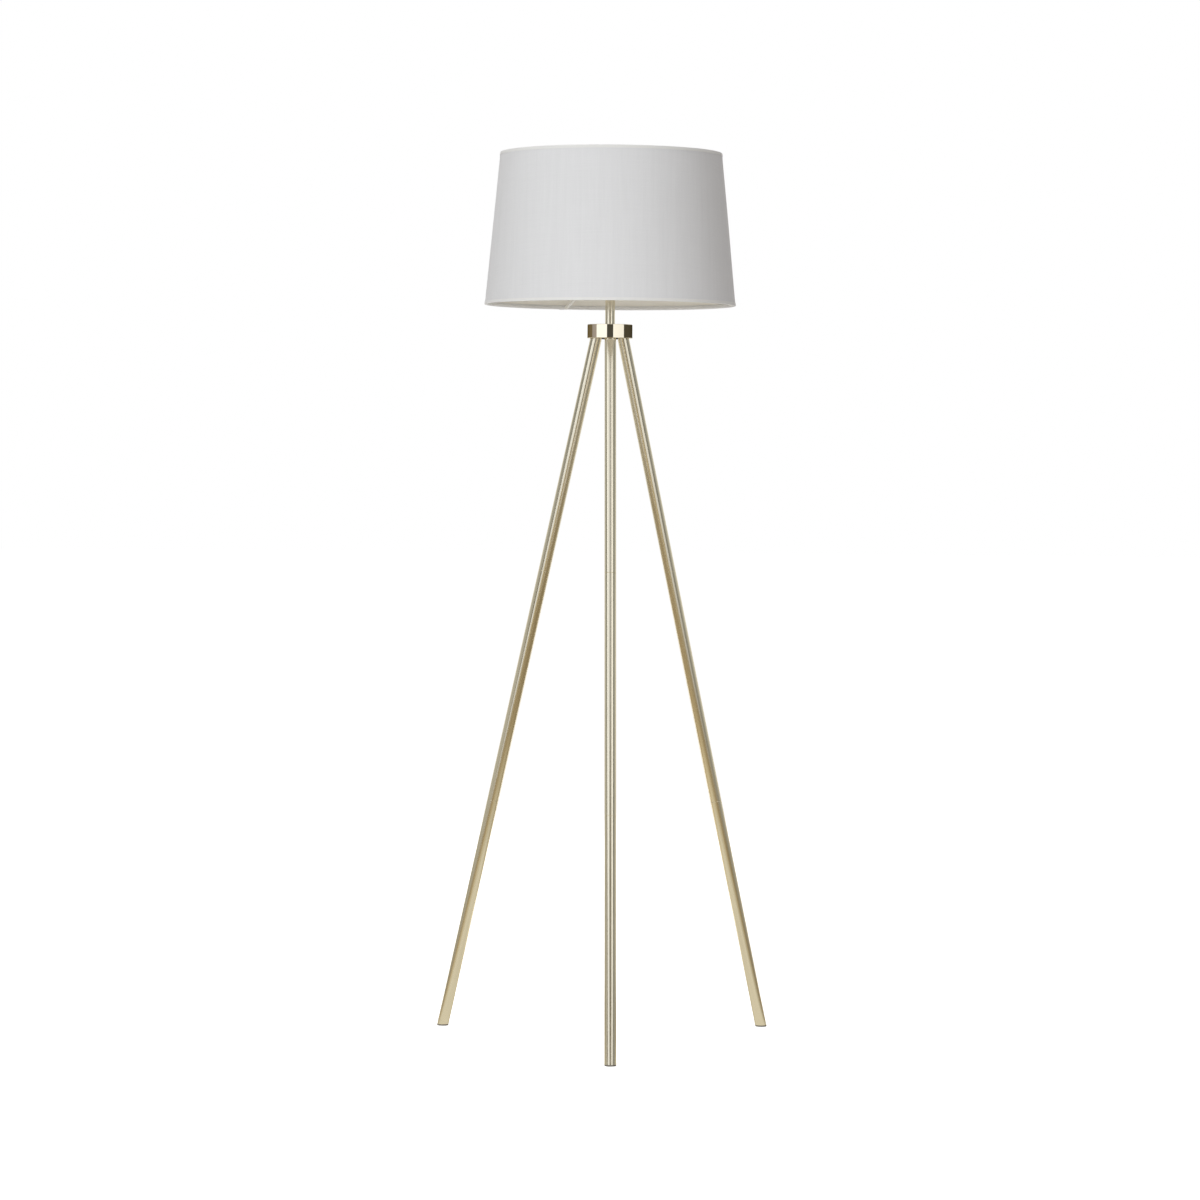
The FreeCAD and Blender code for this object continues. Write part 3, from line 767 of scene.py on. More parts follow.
@dataclass
class Hub(SubAssembly):
    """Turned disc that gathers the legs, with its nut, washer and cord grommet."""

    plating: GoldPlate = GoldPlate(roughness=0.09, line_depth=0.0001 * MM)

    def finish(self) -> None:
        """Plates the disc and dresses its hardware."""
        self.dress(self.plating.material("hub_gold"), "hub_disc")
        self.dress(ZINC.material("hub_hardware_zinc"), "hub_nut", "hub_washer")
        self.dress(BLACK_PLASTIC.material("grommet_plastic"), "cord_grommet")


@dataclass
class Pole(SubAssembly):
    """Short sleeve on a hollow threaded pipe, between the hub and the lampholder."""

    plating: GoldPlate = GoldPlate()

    def finish(self) -> None:
        """Plates the sleeve and its seat ring, and dresses the hidden pipe."""
        self.dress(self.plating.material("pole_gold"), "pole_tube", "pole_seat_ring")
        self.dress(ZINC.material("pipe_zinc"), "threaded_pipe", "pole_bushes")


@dataclass
class Lampholder(SubAssembly):
    """Screw lampholder and the fluted collar that clamps the shade on it."""

    def finish(self) -> None:
        """Dresses the plastic shells, the core and the contacts."""
        self.dress(BLACK_PLASTIC.material("holder_plastic"), "holder_base", "holder_shell",
                   "shade_collar")
        self.dress(WHITE_PLASTIC.material("core_ceramic_white"), "holder_core")
        self.dress(BRASS.material("contact_brass"), "holder_screw_shell", "holder_centre_contact",
                   "holder_terminal_blocks")
        self.dress(ZINC.material("terminal_screw_zinc"), "holder_terminal_screws")


# ---- shade ---------------------------------------------------------------------------------


def arc(centre: Between, radius: float, start: float, end: float, steps: int) -> list[Between]:
    """Points along an arc in the plane of radius and level.

    Args:
        centre: Radius and level of the arc's centre.
        radius: The arc's own radius.
        start: Starting angle in degrees, 0 outwards from the axis and 90 up.
        end: Last angle in degrees.
        steps: How many chords it has.

    Returns:
        The points, both ends included.
    """
    angles = (math.radians(start + (end - start) * step / steps) for step in range(steps + 1))
    return [(centre[0] + radius * math.cos(angle), centre[1] + radius * math.sin(angle))
            for angle in angles]


def smooth_step(value: float, start: float, end: float) -> float:
    """Rises from 0 at start to 1 at end, level at both."""
    share = min(1.0, max(0.0, (value - start) / (end - start)))
    return share * share * (3 - 2 * share)


@dataclass(frozen=True)
class Lap:
    """Joint where one end of a rolled layer rides over the other."""

    azimuth: float = math.radians(90)
    width: float = 10 * MM
    ramp: float = 12 * MM
    fall: float = 3 * MM

    def rise(self, from_end: float) -> float:
        """Share of the lift that the upper end has, by its distance from that end."""
        return smooth_step(-from_end, -self.width - self.ramp, -self.width)

    def ridge(self, past_middle: float) -> float:
        """Share of the lift that a layer lying over the joint has, by distance from its middle."""
        half = self.width / 2
        return (smooth_step(past_middle, -half - self.ramp, -half)
                * (1 - smooth_step(past_middle, half, half + self.fall)))


@dataclass(frozen=True)
class DrumCut:
    """The ring-shaped piece that a tapered wall unrolls to."""

    wall: Span
    lap: Lap

    @property
    def slope(self) -> float:
        """Wall length per metre of radius lost, which sets how far the cut opens."""
        taper = self.wall.low_radius - self.wall.high_radius
        return math.hypot(taper, self.wall.height) / taper

    @property
    def turn(self) -> float:
        """Angle round the lamp's axis from end to end, past a full turn by the lap."""
        return FULL_TURN + self.lap.width / self.wall.low_radius

    @property
    def size(self) -> Between:
        """Width and length of the rectangle that the cut is taken from."""
        half = self.turn / self.slope / 2
        return (2 * self.wall.low_radius * self.slope * math.sin(half),
                (self.wall.low_radius - self.wall.high_radius * math.cos(half)) * self.slope)

    @property
    def area(self) -> float:
        """Area of the cut."""
        return self.turn * self.slope / 2 * (self.wall.low_radius**2 - self.wall.high_radius**2)

    def unrolled(self, turn: float, radius: float, station: float) -> Between:
        """Where a point of the wall lies on the flat cut.

        Args:
            turn: Angle round the axis, from the middle of the cut.
            radius: The point's distance from the axis.
            station: Its distance along the section, which a drum has no use for.

        Returns:
            Its place on the cut in metres, with the middle of the lower edge at the origin.
        """
        reach, angle = radius * self.slope, turn / self.slope
        return reach * math.sin(angle), self.wall.low_radius * self.slope - reach * math.cos(angle)


@dataclass(frozen=True)
class TapeCut:
    """A straight tape, as long as the edge that it binds and its lap."""

    radius: float
    lap: Lap

    @property
    def turn(self) -> float:
        """Angle round the lamp's axis from end to end."""
        return FULL_TURN + self.lap.width / self.radius

    def unrolled(self, turn: float, radius: float, station: float) -> Between:
        """Place on the flat tape of a point by its turn and its distance across the tape."""
        return turn * self.radius, station


@dataclass
class RolledStrip:
    """A flat strip rolled once round the axis, with its two ends lapped.

    Its swells are slow waves in a long sheet: the share that each has of the swell, how many go
    round, and how far each drifts up the wall.
    """

    name: str
    outline: Outline
    cut: DrumCut | TapeCut
    thickness: float
    lift: float
    under: Lap | None = None
    under_lift: float = 0.0
    swell: float = 0.0
    swells: Sequence[tuple[float, int, int]] = ((0.6, 5, 4), (0.4, 11, -6))
    steps_round: int = 432

    def build(self) -> bpy.types.Object:
        """Rolls a flat grid, with its flat cut as the UV map, and gives it its thickness.

        Returns:
            The rolled strip. Its outline is its outer face.
        """
        clear_selection()
        last = len(self.outline) - 1
        bpy.ops.mesh.primitive_grid_add(x_subdivisions=self.steps_round, y_subdivisions=last,
                                        size=1, calc_uvs=True)
        piece = take(self.name)
        chart = piece.data.uv_layers.active
        chart.name = "flat_cut"
        flat = [(vertex.co.x * self.cut.turn, round((vertex.co.y + 0.5) * last))
                for vertex in piece.data.vertices]
        stations = [0.0]
        for here, there in zip(self.outline, self.outline[1:]):
            stations.append(stations[-1] + math.dist(here, there))
        for loop in piece.data.loops:
            turn, row = flat[loop.vertex_index]
            chart.data[loop.index].uv = self.cut.unrolled(turn, self.outline[row][0], stations[row])
        for vertex, (turn, row) in zip(piece.data.vertices, flat):
            vertex.co = self._rolled(turn, row, stations[row] / stations[-1])
        apply_modifier(piece, "SOLIDIFY", thickness=self.thickness, offset=-1.0)
        settle(piece)
        return piece

    def _normal(self, row: int) -> Between:
        """Outward direction of a row.

        Args:
            row: The row's number on the outline.

        Returns:
            The direction's parts in radius and level.
        """
        below = self.outline[max(0, row - 1)]
        above = self.outline[min(len(self.outline) - 1, row + 1)]
        across, up = above[0] - below[0], above[1] - below[1]
        length = math.hypot(across, up)
        return up / length, -across / length

    def _rolled(self, turn: float, row: int, share: float) -> Vector:
        """Place of a strip's point once it is rolled.

        Args:
            turn: Angle round the axis, from the middle of the strip.
            row: Its row on the outline.
            share: Its share of the way along the outline.

        Returns:
            The point in the lamp's frame. The last end rides over the first.
        """
        radius, level = self.outline[row]
        out, up = self._normal(row)
        rise = self.lift * self.cut.lap.rise((self.cut.turn / 2 - turn) * radius)
        azimuth = turn + math.pi + self.cut.lap.azimuth
        if self.under is not None:
            past = (azimuth - self.under.azimuth + math.pi) % FULL_TURN - math.pi
            rise += self.under_lift * abs(out) * self.under.ridge(past * radius)
        waves = sum(part * math.sin(count * azimuth + drift * share)
                    for part, count, drift in self.swells)
        rise += self.swell * math.sin(math.pi * share) * waves
        radius += out * rise
        return Vector((radius * math.cos(azimuth), radius * math.sin(azimuth), level + up * rise))


@dataclass
class Shade(SubAssembly):
    """Tapered drum of cloth on a stiff lining, bound over two wire rings.

    A weld's stations are distances from the spoke's end in weld lengths, with the thickness there
    as a share of the rod's.
    """

    cloth: WovenCloth = WovenCloth()
    tape: WovenCloth = WovenCloth((0.79, 0.785, 0.765), 0.4 * MM, streak=0.02)
    film: LiningFilm = LiningFilm()
    paint: PowderCoat = PowderCoat()
    cloth_thickness: float = 0.6 * MM
    film_thickness: float = 0.5 * MM
    tape_thickness: float = 0.5 * MM
    layer_gap: float = 0.05 * MM
    rows: int = 16
    swell: float = 0.25 * MM
    lip: float = 5.0 * MM
    tuck: float = 7.0 * MM
    tuck_curl: float = 1.8
    corner: float = 1.0 * MM
    corner_chords: int = 6
    wire_chords: int = 16
    wire_wrap: float = 285.0
    seam: Lap = Lap()
    tape_seam: Lap = Lap(math.radians(112), 6 * MM, 6 * MM)
    spokes: Sequence[int] = (1, 2, 3)
    spoke_sides: int = 24
    weld_length: float = 3.0 * MM
    ring_weld: Outline = ((0.0, 1.4), (1.0, 1.4), (1.3, 1.344), (1.7, 1.12), (2.1, 1.0))
    wire_weld: Outline = ((2.3, 1.0), (1.9, 1.1), (1.5, 1.33), (1.0, 1.4), (0.0, 1.12))

    def build(self) -> None:
        """Models the cloth, its lining, the two bindings and the spokes."""
        woven = self.cloth.material("shade_woven_cloth")
        tape_cloth = self.tape.material("shade_binding_tape")
        film = self.film.material("shade_lining_film")
        skin = self._wall("shade_cloth", "shade_fabric", self.cloth_thickness, 1)
        hand_over(skin, Body.SHADE, woven, "shade_fabric")
        lining = self._wall("shade_lining", "shade_liner", self.film_thickness, -1)
        hand_over(lining, Body.SHADE, film, "shade_liner")
        tapes = [self._binding("top", -1), self._binding("bottom", 1)]
        for tape, hem in zip(tapes, ("shade_top_hem", "shade_bottom_hem")):
            hand_over(tape, Body.SHADE, tape_cloth, hem)
        cut = DrumCut(Span.of("shade_fabric", self.frame), self.seam)
        LOG.info("cloth cut from %.4f by %.4f m, %.4f square metres", *cut.size, cut.area)
        self._build_spokes()

    def finish(self) -> None:
        """Paints the wires and the ring that the spokes hold."""
        paint = self.paint.material("shade_frame_paint")
        self.dress(paint, "shade_top_wire", "shade_bottom_wire", "shade_fitter_ring")

    def _wall(self, name: str, node: str, thickness: float, lap_side: int) -> bpy.types.Object:
        """Rolls one layer of the drum's wall.

        Args:
            name: Name of the new piece.
            node: CAD node that it has the shape of.
            thickness: The layer's thickness.
            lap_side: +1 if its last end rides outwards, -1 if inwards.

        Returns:
            The layer.
        """
        wall = Span.of(node, self.frame)
        levels = [wall.low + wall.height * row / self.rows for row in range(self.rows + 1)]
        outline = [(wall.radius(level), level) for level in levels]
        lift = lap_side * (thickness + self.layer_gap)
        return RolledStrip(name, outline, DrumCut(wall, self.seam), thickness, lift,
                           swell=self.swell).build()

    def _binding(self, edge: str, inwards: int) -> bpy.types.Object:
        """Rolls the tape that is folded over one edge and round its wire.

        Args:
            edge: "top" or "bottom".
            inwards: +1 where the shade lies above the edge, -1 where it lies below.

        Returns:
            The binding.
        """
        wire_low, wire_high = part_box(f"shade_{edge}_wire")
        wire_radius = (wire_high.z - wire_low.z) / 2
        wire = (wire_high.x - wire_radius, (wire_high.z + wire_low.z) / 2)
        cover = self.layer_gap + self.tape_thickness
        rim = wire[1] - inwards * (wire_radius + cover)

        def beside(node: str, away: float, *depths: float) -> list[Between]:
            """Points beside a layer of the wall.

            Args:
                node: The layer's CAD node.
                away: Distance from its outer face.
                depths: Distances of the points from the rim.

            Returns:
                The points' radii and levels.
            """
            wall = Span.of(node, self.frame)
            levels = [rim + inwards * depth for depth in depths]
            return [(wall.radius(level) + away, level) for level in levels]

        outside = beside("shade_fabric", cover, self.lip, self.lip / 2, 2 * self.corner, 0.0)
        inside = beside("shade_liner", -self.film_thickness - cover,
                        self.tuck - self.tuck_curl * self.corner, self.tuck - self.corner, self.tuck)
        rim_radius = outside.pop()[0]
        outline = [*outside,
                   *arc((rim_radius - self.corner, rim + inwards * self.corner), self.corner, 0,
                        -inwards * 90, self.corner_chords),
                   *arc(wire, wire_radius + cover, -inwards * 90, -inwards * self.wire_wrap,
                        self.wire_chords), *inside]
        if inwards > 0:
            outline.reverse()
        return RolledStrip(f"shade_{edge}_binding", outline, TapeCut(rim_radius, self.tape_seam),
                           self.tape_thickness, cover, self.seam,
                           self.cloth_thickness + self.layer_gap).build()

    def _build_spokes(self) -> None:
        """Models the three spokes, with the welds that hold them to the ring and the wire."""
        paint = self.paint.material("shade_spoke_paint")
        for number in self.spokes:
            near, far, radius = self._ends(f"shade_arm_{number}")
            length = (far - near).length
            stations = [(self.weld_length * along, radius * share) for along, share in self.ring_weld]
            stations += [(length - self.weld_length * along, radius * share)
                         for along, share in self.wire_weld]
            spoke = self._turned_rod(f"shade_spoke_{number}", stations)
            aim = Vector((0, 0, 1)).rotation_difference(far - near).to_matrix().to_4x4()
            spoke.matrix_world = Matrix.Translation(near) @ aim
            settle(spoke)
            hand_over(spoke, Body.SHADE, paint, f"shade_arm_{number}")

    def _ends(self, node: str) -> tuple[Vector, Vector, float]:
        """Measures a straight CAD rod that points away from the axis.

        Args:
            node: The rod's name.

        Returns:
            Its inner end, its outer end and its radius.
        """
        places = [vertex.co for vertex in self.frame["nodes"][node].data.vertices]
        middle = (sum(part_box(node), Vector()) / 2).xy.length
        ends = []
        for far in (False, True):
            group = [place for place in places if (place.xy.length > middle) == far]
            corners = [Vector(pick_one(place[axis] for place in group) for axis in range(3))
                       for pick_one in (min, max)]
            ends.append((corners[0] + corners[1]) / 2)
        return *ends, max((place - ends[1]).length for place in group)

    def _turned_rod(self, name: str, stations: Outline) -> bpy.types.Object:
        """Extrudes a disc upwards through stations of distance and radius.

        Args:
            name: Name of the new piece.
            stations: Distance along the rod and radius there, from its first end.

        Returns:
            The rod, standing on the origin.
        """
        clear_selection()
        start, radius = stations[0]
        bpy.ops.mesh.primitive_circle_add(vertices=self.spoke_sides, radius=radius,
                                          fill_type="NGON", location=(0, 0, start))
        rod = take(name)
        with editing(rod):
            for here, there in zip(stations, stations[1:]):
                rise = (0, 0, there[0] - here[0])
                bpy.ops.mesh.extrude_region_move(TRANSFORM_OT_translate={"value": rise})
                ratio = there[1] / here[1]
                bpy.ops.transform.resize(value=(ratio, ratio, 1))
            bpy.ops.mesh.select_all(action="SELECT")
            bpy.ops.mesh.normals_make_consistent(inside=False)
        return rod


# ---- bulb ----------------------------------------------------------------------------------


@dataclass
class Bulb(SubAssembly):
    """LED bulb with a rolled-thread screw cap."""

    pitch: float = 3.63 * MM
    thread_depth: float = 1.15 * MM
    chords: int = 10
    steps_round: int = 64
    plain_top: float = 3.2 * MM
    plain_bottom: float = 2.0 * MM
    wall: float = 0.25 * MM
    on_rim: float = 0.01 * MM
    weld: float = 0.002 * MM
    saw: float = 0.0005 * MM

    def build(self) -> None:
        """Models the screw cap, which the frame holds as a plain sleeve."""
        cap = Span.of("bulb_cap", self.frame)
        crest = cap.high_radius
        low = cap.low + self.plain_bottom
        high = cap.high - self.plain_top
        half = self.thread_depth / 2
        profile = [(crest - half + half * math.cos(FULL_TURN * chord / self.chords),
                    low - self.pitch + self.pitch * chord / self.chords)
                   for chord in range(self.chords + 1)]
        piece = draw_line("bulb_screw_cap", profile)
        turns = math.ceil((high - low) / self.pitch) + 1
        apply_modifier(piece, "SCREW", axis="Z", angle=FULL_TURN, screw_offset=self.pitch,
                       iterations=turns, steps=self.steps_round, render_steps=self.steps_round,
                       use_merge_vertices=True, merge_threshold=self.on_rim)
        with editing(piece):
            bpy.ops.mesh.remove_doubles(threshold=self.weld)
        self._trim(piece, low, high)
        self._lengthen(piece, low, (cap.low_radius, cap.low))
        self._lengthen(piece, high, (crest, high + self.plain_top / 4), (crest, cap.high))
        with editing(piece):
            bpy.ops.mesh.remove_doubles(threshold=self.weld)
            bpy.ops.mesh.normals_make_consistent(inside=False)
        apply_modifier(piece, "SOLIDIFY", thickness=self.wall, offset=-1.0)
        settle(piece)
        hand_over(piece, Body.BULB, NICKEL.material("cap_nickel"), "bulb_cap")

    def _trim(self, piece: bpy.types.Object, low: float, high: float) -> None:
        """Cuts a thread level at both ends.

        Args:
            piece: The thread.
            low: Level of the lower cut.
            high: Level of the upper cut.
        """
        for level, upper in ((low, False), (high, True)):
            with editing(piece):
                bpy.ops.mesh.bisect(plane_co=(0, 0, level), plane_no=(0, 0, 1),
                                    clear_inner=not upper, clear_outer=upper, threshold=self.saw)

    def _lengthen(self, piece: bpy.types.Object, level: float, *rings: Between) -> None:
        """Extrudes an open edge through round rings.

        Args:
            piece: The piece with the edge.
            level: Level of the edge.
            rings: Radius and level of each ring.
        """
        for radius, height in rings:
            with editing(piece) as mesh:
                bpy.ops.mesh.select_mode(type="EDGE")
                bpy.ops.mesh.select_all(action="DESELECT")
                for edge in mesh.edges:
                    here = all(abs(corner.co.z - level) < self.on_rim for corner in edge.verts)
                    edge.select_set(edge.is_boundary and here)
                mesh.select_flush_mode()
                bmesh.update_edit_mesh(piece.data)
                rise = (0, 0, height - level)
                bpy.ops.mesh.extrude_region_move(TRANSFORM_OT_translate={"value": rise})
                bpy.ops.transform.tosphere(value=1.0)
                reach = [corner.co.xy.length for corner in mesh.verts if corner.select]
                ratio = radius * len(reach) / sum(reach)
                bpy.ops.transform.resize(value=(ratio, ratio, 1), center_override=(0, 0, height))
            level = height

    def finish(self) -> None:
        """Dresses the bulb's body, globe, board, chips and contact."""
        self.dress(WHITE_PLASTIC.material("bulb_body_plastic"), "bulb_body")
        self.dress(OPAL.material("globe_opal"), "bulb_globe")
        self.dress(BOARD_COAT.material("board_coat"), "bulb_led_board")
        self.dress(PHOSPHOR.material("chip_phosphor"), "bulb_led_chips")
        self.dress(INSULATION.material("cap_insulation"), "bulb_insulator")
        self.dress(NICKEL.material("eyelet_nickel"), "bulb_eyelet")


# ---- studio --------------------------------------------------------------------------------

HUB_FLAG_LEVELS = (1.1725, 1.197)
HUB_FLAG_DISTANCE = 0.0395


class Tint(Enum):
    """Colour casts of what stands round the lamp."""

    DAYLIGHT = (1.0, 1.02, 1.05)
    SOFT_WHITE = (1.0, 1.0, 1.0)
    CREAM = (1.0, 0.94, 0.78)
    SAND = (1.0, 0.87, 0.60)
    WALNUT = (1.0, 0.79, 0.46)
    DUSK = (1.0, 0.93, 0.76)
    ROSE = (1.0, 0.90, 0.86)
    LINEN = (1.0, 0.98, 0.89)
    MIST = (1.0, 1.0, 0.93)


class Row(NamedTuple):
    """One line across a card: its level, where it starts and ends, and its glow at both ends."""

    level: float
    start: float
    end: float
    first: float
    last: float
    tint: Tint


@dataclass(frozen=True)
class Card:
    """Curved panel that only polished surfaces see: a softbox's face, a flag or a wall.

    A row starts and ends at bearings in degrees. A card that lies on the floor has no distance, and
    its rows have radii in place of levels.
    """

    name: str
    rows: Sequence[Row]
    distance: float | None = None
    steps: int = 32
    above: float = 0.0


@dataclass(frozen=True)
class Lamp:
    """Square softbox that is turned to the shade, placed by bearing, distance and level."""

    name: str
    bearing: float
    distance: float
    level: float
    power: float
    size: float = 2.2
    colour: Colour = (1.0, 1.0, 1.0)


def card_rows(tint: Tint, *rows: tuple[float, float, float, float, float]) -> tuple[Row, ...]:
    """Rows that share a tint."""
    return tuple(Row(*row, tint) for row in rows)


def hub_flag(name: str, start: float, end: float, first: float, last: float, tint: Tint) -> Card:
    """A small card close to the hub, no taller than its side, which only the hub mirrors."""
    rows = [(level, start, end, first, last) for level in HUB_FLAG_LEVELS]
    return Card(f"hub_flag_{name}", card_rows(tint, *rows), HUB_FLAG_DISTANCE)


FRONT_WALL = Card("front_wall", (
    *card_rows(Tint.WALNUT, (-0.1, -72, 60, 0.50, 0.50), (0.2, -72, 60, 0.42, 0.42),
               (0.4, -72, 60, 0.22, 0.20), (0.6, -72, 60, 0.13, 0.13), (0.9, -72, 60, 0.14, 0.14)),
    *card_rows(Tint.DUSK, (1.1, -72, 60, 0.24, 0.24), (1.5, -72, 60, 0.26, 0.26),
               (2.1, -72, 60, 0.24, 0.22), (4.4, -72, 60, 0.22, 0.20))), 2.75)
LEFT_WALL = Card("left_wall", (
    *card_rows(Tint.CREAM, (-0.1, -128, -62, 0.15, 0.49)),
    *card_rows(Tint.LINEN, (0.5, -128, -62, 0.47, 0.55), (0.8, -128, -62, 0.57, 0.38)),
    *card_rows(Tint.MIST, (1.1, -128, -62, 0.60, 0.28), (1.3, -128, -62, 0.49, 0.15),
               (1.6, -128, -62, 0.34, 0.24), (2.0, -128, -62, 0.20, 0.78),
               (4.4, -128, -62, 0.28, 0.75))), 2.70)
RIGHT_WALL = Card("right_wall", (
    *card_rows(Tint.CREAM, (-0.1, 46, 128, 0.41, 0.17)),
    *card_rows(Tint.LINEN, (0.4, 46, 128, 0.18, 0.57), (0.8, 46, 128, 0.11, 0.73)),
    *card_rows(Tint.MIST, (1.1, 46, 128, 0.01, 0.70), (1.4, 46, 128, 0.19, 0.45),
               (2.0, 46, 128, 0.45, 0.16), (4.4, 46, 128, 0.45, 0.20))), 2.70)
LEFT_SOFTBOX = Card("left_softbox", card_rows(
    Tint.DAYLIGHT,
    (0.00, -60, -22, 0.45, 0.90), (0.30, -56, -20, 0.55, 0.95), (0.50, -45, -10, 0.78, 1.00),
    (0.70, -48, -10, 0.98, 0.85), (0.90, -52, -15, 1.08, 0.78), (1.10, -57, -18, 1.22, 0.82),
    (1.22, -62, -18, 1.30, 0.90), (1.38, -64, -18, 1.35, 0.90), (1.50, -66, -12, 1.35, 0.55),
    (1.70, -68, -4, 1.32, 0.52), (2.30, -72, 0, 1.30, 0.48), (4.40, -72, 0, 1.30, 0.48)), 2.60)
RIGHT_SOFTBOX = Card("right_softbox", card_rows(
    Tint.SOFT_WHITE,
    (0.00, 10, 48, 0.66, 0.45), (0.30, 10, 48, 0.80, 0.48), (0.50, 9, 47, 1.05, 0.56),
    (0.70, 11, 50, 0.95, 0.70), (0.90, 18, 52, 0.74, 1.12), (1.10, 20, 51, 0.90, 1.15),
    (1.30, 20, 54, 1.00, 1.15), (1.50, 20, 54, 1.00, 1.20), (1.90, 20, 54, 0.95, 1.25),
    (2.50, 18, 51, 1.00, 1.05), (4.40, 16, 48, 1.00, 1.00)), 2.60)
HUB_FLAGS = (
    hub_flag("far_left", -112, -55, 0.19, 0.19, Tint.WALNUT),
    hub_flag("near_left", -55, -38.3, 0.36, 0.42, Tint.ROSE),
    hub_flag("left_gleam", -38.3, -8, 1.25, 1.25, Tint.DAYLIGHT),
    hub_flag("middle", -8, 8.8, 0.075, 0.075, Tint.CREAM),
    hub_flag("right_gleam", 8.8, 40.4, 1.15, 1.08, Tint.SOFT_WHITE),
    hub_flag("right", 40.4, 112, 0.075, 0.075, Tint.SAND),
)
SWEEP = (
    Card("pale_sweep", card_rows(
        Tint.CREAM, (0.0, -180, 180, 0.66, 0.66), (0.3, -180, 180, 0.74, 0.74),
        (0.42, -180, 180, 0.74, 0.74)), steps=96),
    Card("front_sweep", (
        *card_rows(Tint.CREAM, (0.42, -150, 150, 0.74, 0.62), (0.54, -150, 150, 0.70, 0.50)),
        *card_rows(Tint.SAND, (0.66, -150, 150, 0.80, 0.46), (0.80, -150, 150, 0.72, 0.38)),
        *card_rows(Tint.WALNUT, (1.00, -140, 140, 0.54, 0.28), (1.30, -128, 128, 0.42, 0.23),
                   (2.00, -128, 128, 0.36, 0.26)),
        *card_rows(Tint.SAND, (2.80, -128, 128, 0.36, 0.32))), steps=64),
    Card("floor_gleam", card_rows(
        Tint.SAND, (1.45, -14, -3, 0.34, 0.36), (1.80, -13, -3, 0.44, 0.56),
        (2.62, -13, -3, 0.72, 0.72)), above=1 * MM),
    Card("wall_gleam", card_rows(
        Tint.SAND, (0.0, -13, -2, 0.70, 0.70), (0.25, -13, -2, 0.70, 0.70),
        (0.45, -13, -3, 0.30, 0.30)), 2.62),
)
CARDS = (FRONT_WALL, LEFT_WALL, RIGHT_WALL, LEFT_SOFTBOX, RIGHT_SOFTBOX, *HUB_FLAGS, *SWEEP)
LAMPS = (
    Lamp("key_softbox", -25, 4.0, 2.346981543, 79.0, colour=(0.963, 1.0, 1.03)),
    Lamp("left_fill", -100, 4.0, 1.2, 4.0),
    Lamp("low_bounce", 20, 0.75, 0.75, 0.8, size=0.6),
    Lamp("back_softbox", 180, 4.0, 2.2, 40.0),
    Lamp("overhead_softbox", 0, 0.0, 3.6, 18.0),
)


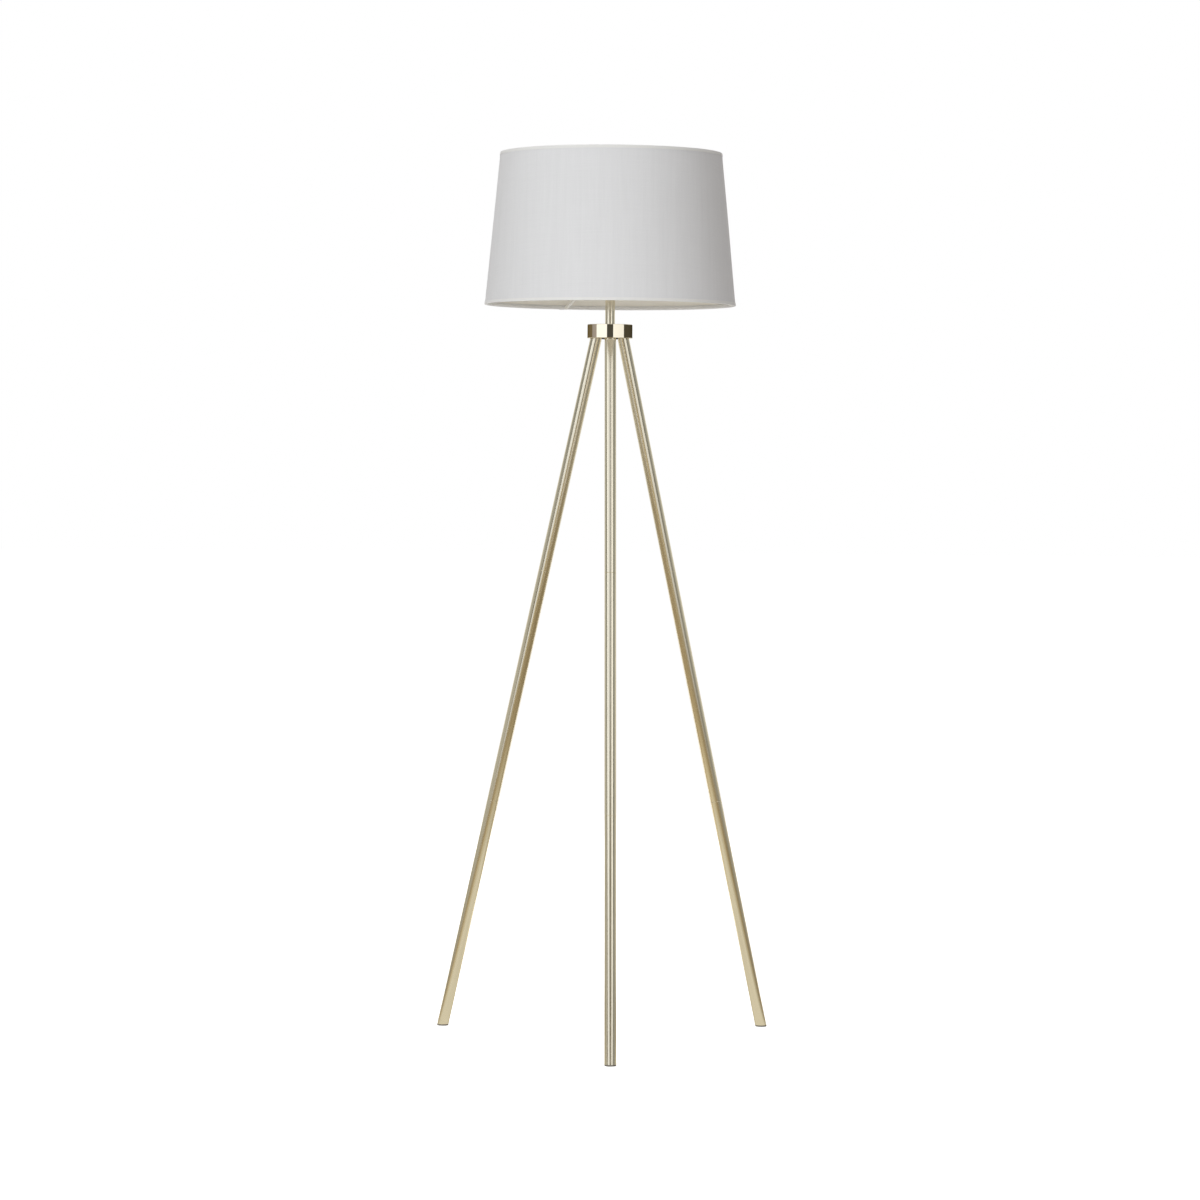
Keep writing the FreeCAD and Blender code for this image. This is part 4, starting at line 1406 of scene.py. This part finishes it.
@dataclass
class Studio:
    """Pale floor, white surroundings, soft lamps, reflection screens and the camera."""

    facing: float = -1.714
    stand_off: float = 6.83
    eye_level: float = 0.954
    yaw: float = 0.111
    tilt: float = -1.833
    roll: float = 0.429
    lens: float = 122.68
    sensor: float = 36.0
    sight: float = 50.0
    floor_radius: float = 40.0
    floor_sides: int = 128
    floor_colour: Colour = (0.92, 0.91, 0.89)
    floor_glow: float = 0.71
    floor_catch: Colour = (0.92, 0.92, 0.92)
    ambience: Colour = (0.344, 0.329, 0.322)
    white: Colour = (1.0, 1.0, 1.0)
    ground_level: float = 1 * MM
    aim_level: float = 1.2
    most_glow: float = 9.0
    lamps: Sequence[Lamp] = LAMPS
    cards: Sequence[Card] = CARDS

    def build(self) -> None:
        """Sets up the stage."""
        self._floor()
        self._world()
        for lamp in self.lamps:
            self._hang(lamp)
        for card in self.cards:
            self._stand(card)
        self._camera()
        bpy.context.scene.view_settings.view_transform = "Standard"

    def _spot(self, bearing: float, distance: float, level: float) -> Vector:
        """A place by bearing in degrees, 0 at the camera and positive to its right."""
        azimuth = math.radians(bearing - 90 + self.facing)
        return Vector((distance * math.cos(azimuth), distance * math.sin(azimuth), level))

    def _by_ray(self, sketch: Sketch, plain: bpy.types.Node, seen: bpy.types.Node) -> None:
        """Shows one shader to the camera, also in metal and through glass, and one to the rest.

        Args:
            sketch: Where the nodes go.
            plain: Shader that lights the lamp.
            seen: Shader that the camera sees.
        """
        path = sketch.add("ShaderNodeLightPath")
        shown = path.outputs["Is Camera Ray"]
        for ray in ("Is Glossy Ray", "Is Transmission Ray"):
            shown = sketch.sum(shown, path.outputs[ray], "MAXIMUM")
        choice = sketch.add("ShaderNodeMixShader")
        sketch.surface(sketch.wire(choice, shown, plain.outputs[0], seen.outputs[0]))

    def _floor(self) -> None:
        """Lays the pale floor, which keeps the lamp's soft shadow."""
        clear_selection()
        bpy.ops.mesh.primitive_circle_add(vertices=self.floor_sides, radius=self.floor_radius,
                                          fill_type="TRIFAN")
        floor = take("studio_floor")
        material = bpy.data.materials.new("studio_floor_paint")
        sketch = Sketch(material)
        glow = sketch.add("ShaderNodeEmission")
        sketch.feed(glow, Color=self.white, Strength=self.floor_glow)
        catch = sketch.feed(sketch.add("ShaderNodeBsdfDiffuse"), Color=self.floor_catch)
        plain = sketch.feed(sketch.add("ShaderNodeBsdfDiffuse"), Color=self.floor_colour)
        backdrop = sketch.add("ShaderNodeAddShader")
        sketch.wire(backdrop, glow.outputs[0], catch.outputs[0])
        self._by_ray(sketch, plain, backdrop)
        floor.data.materials.append(material)

    def _world(self) -> None:
        """White surroundings that light the lamp at a plain level."""
        world = bpy.data.worlds.new("studio_surroundings")
        bpy.context.scene.world = world
        sketch = Sketch(world, "ShaderNodeOutputWorld")
        light = sketch.feed(sketch.add("ShaderNodeBackground"), Color=self.ambience)
        white = sketch.feed(sketch.add("ShaderNodeBackground"), Color=self.white)
        self._by_ray(sketch, light, white)

    def _hang(self, lamp: Lamp) -> None:
        """Hangs a softbox that lights the lamp and isn't mirrored in it.

        Args:
            lamp: The softbox's place and light.
        """
        place = self._spot(lamp.bearing, lamp.distance, lamp.level)
        bpy.ops.object.light_add(type="AREA", location=place)
        light = take(lamp.name)
        light.data.shape = "SQUARE"
        light.data.size = lamp.size
        light.data.energy = lamp.power
        light.data.color = lamp.colour
        aim = Vector((0, 0, self.aim_level)) - place
        light.rotation_euler = aim.to_track_quat("-Z", "Y").to_euler()
        light.visible_glossy = False

    def _stand(self, card: Card) -> None:
        """Stands a screen, with the glow of its rows, where only polished surfaces see it.

        Args:
            card: The screen's rows and place.
        """
        panel = self._panel(card)
        material = bpy.data.materials.new(f"{card.name}_face")
        sketch = Sketch(material)
        glow = sketch.add("ShaderNodeAttribute", attribute_name="glow")
        face = sketch.add("ShaderNodeEmission")
        sketch.surface(sketch.feed(face, Color=glow.outputs["Color"], Strength=1.0))
        panel.data.materials.append(material)
        for ray in ("camera", "diffuse", "transmission", "volume_scatter", "shadow"):
            setattr(panel, f"visible_{ray}", False)

    def _panel(self, card: Card) -> bpy.types.Object:
        """Curves a flat grid into a card, with its glow as a colour attribute.

        Args:
            card: The card's rows and place.

        Returns:
            The panel.
        """
        clear_selection()
        last = len(card.rows) - 1
        bpy.ops.mesh.primitive_grid_add(x_subdivisions=card.steps, y_subdivisions=last, size=1)
        panel = take(card.name)
        glow = panel.data.attributes.new("glow", "FLOAT_COLOR", "POINT")
        for vertex in panel.data.vertices:
            row = card.rows[round((vertex.co.y + 0.5) * last)]
            across = vertex.co.x + 0.5
            bearing = row.start + (row.end - row.start) * across
            bright = row.first + (row.last - row.first) * across
            glow.data[vertex.index].color = (*shade_of(row.tint.value, bright, self.most_glow), 1.0)
            if card.distance is None:
                vertex.co = self._spot(bearing, row.level, self.ground_level + card.above)
            else:
                vertex.co = self._spot(bearing, card.distance, row.level)
        return panel

    def _camera(self) -> None:
        """Stands the camera at a low level in front, with a long lens."""
        bpy.ops.object.camera_add()
        camera = take("studio_camera")
        camera.data.lens = self.lens
        camera.data.sensor_width = self.sensor
        camera.data.clip_end = self.sight
        camera.location = self._spot(0, self.stand_off, self.eye_level)
        heading = Matrix.Rotation(math.radians(self.facing + self.yaw), 4, "Z")
        pitch = Matrix.Rotation(math.radians(90 + self.tilt), 4, "X")
        lean = Matrix.Rotation(math.radians(self.roll), 4, "Z")
        camera.rotation_euler = (heading @ pitch @ lean).to_euler()
        bpy.context.scene.camera = camera


# ---- main ----------------------------------------------------------------------------------


def main() -> None:
    """Builds the lamp's sub-assemblies in order, then the studio."""
    logging.basicConfig(level=logging.INFO, format="%(name)s: %(message)s")
    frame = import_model()
    for assembly in (Legs, Hub, Pole, Lampholder, Shade, Bulb):
        part = assembly(frame)
        part.build()
        part.finish()
    Studio().build()


if __name__ == "__main__":
    main()
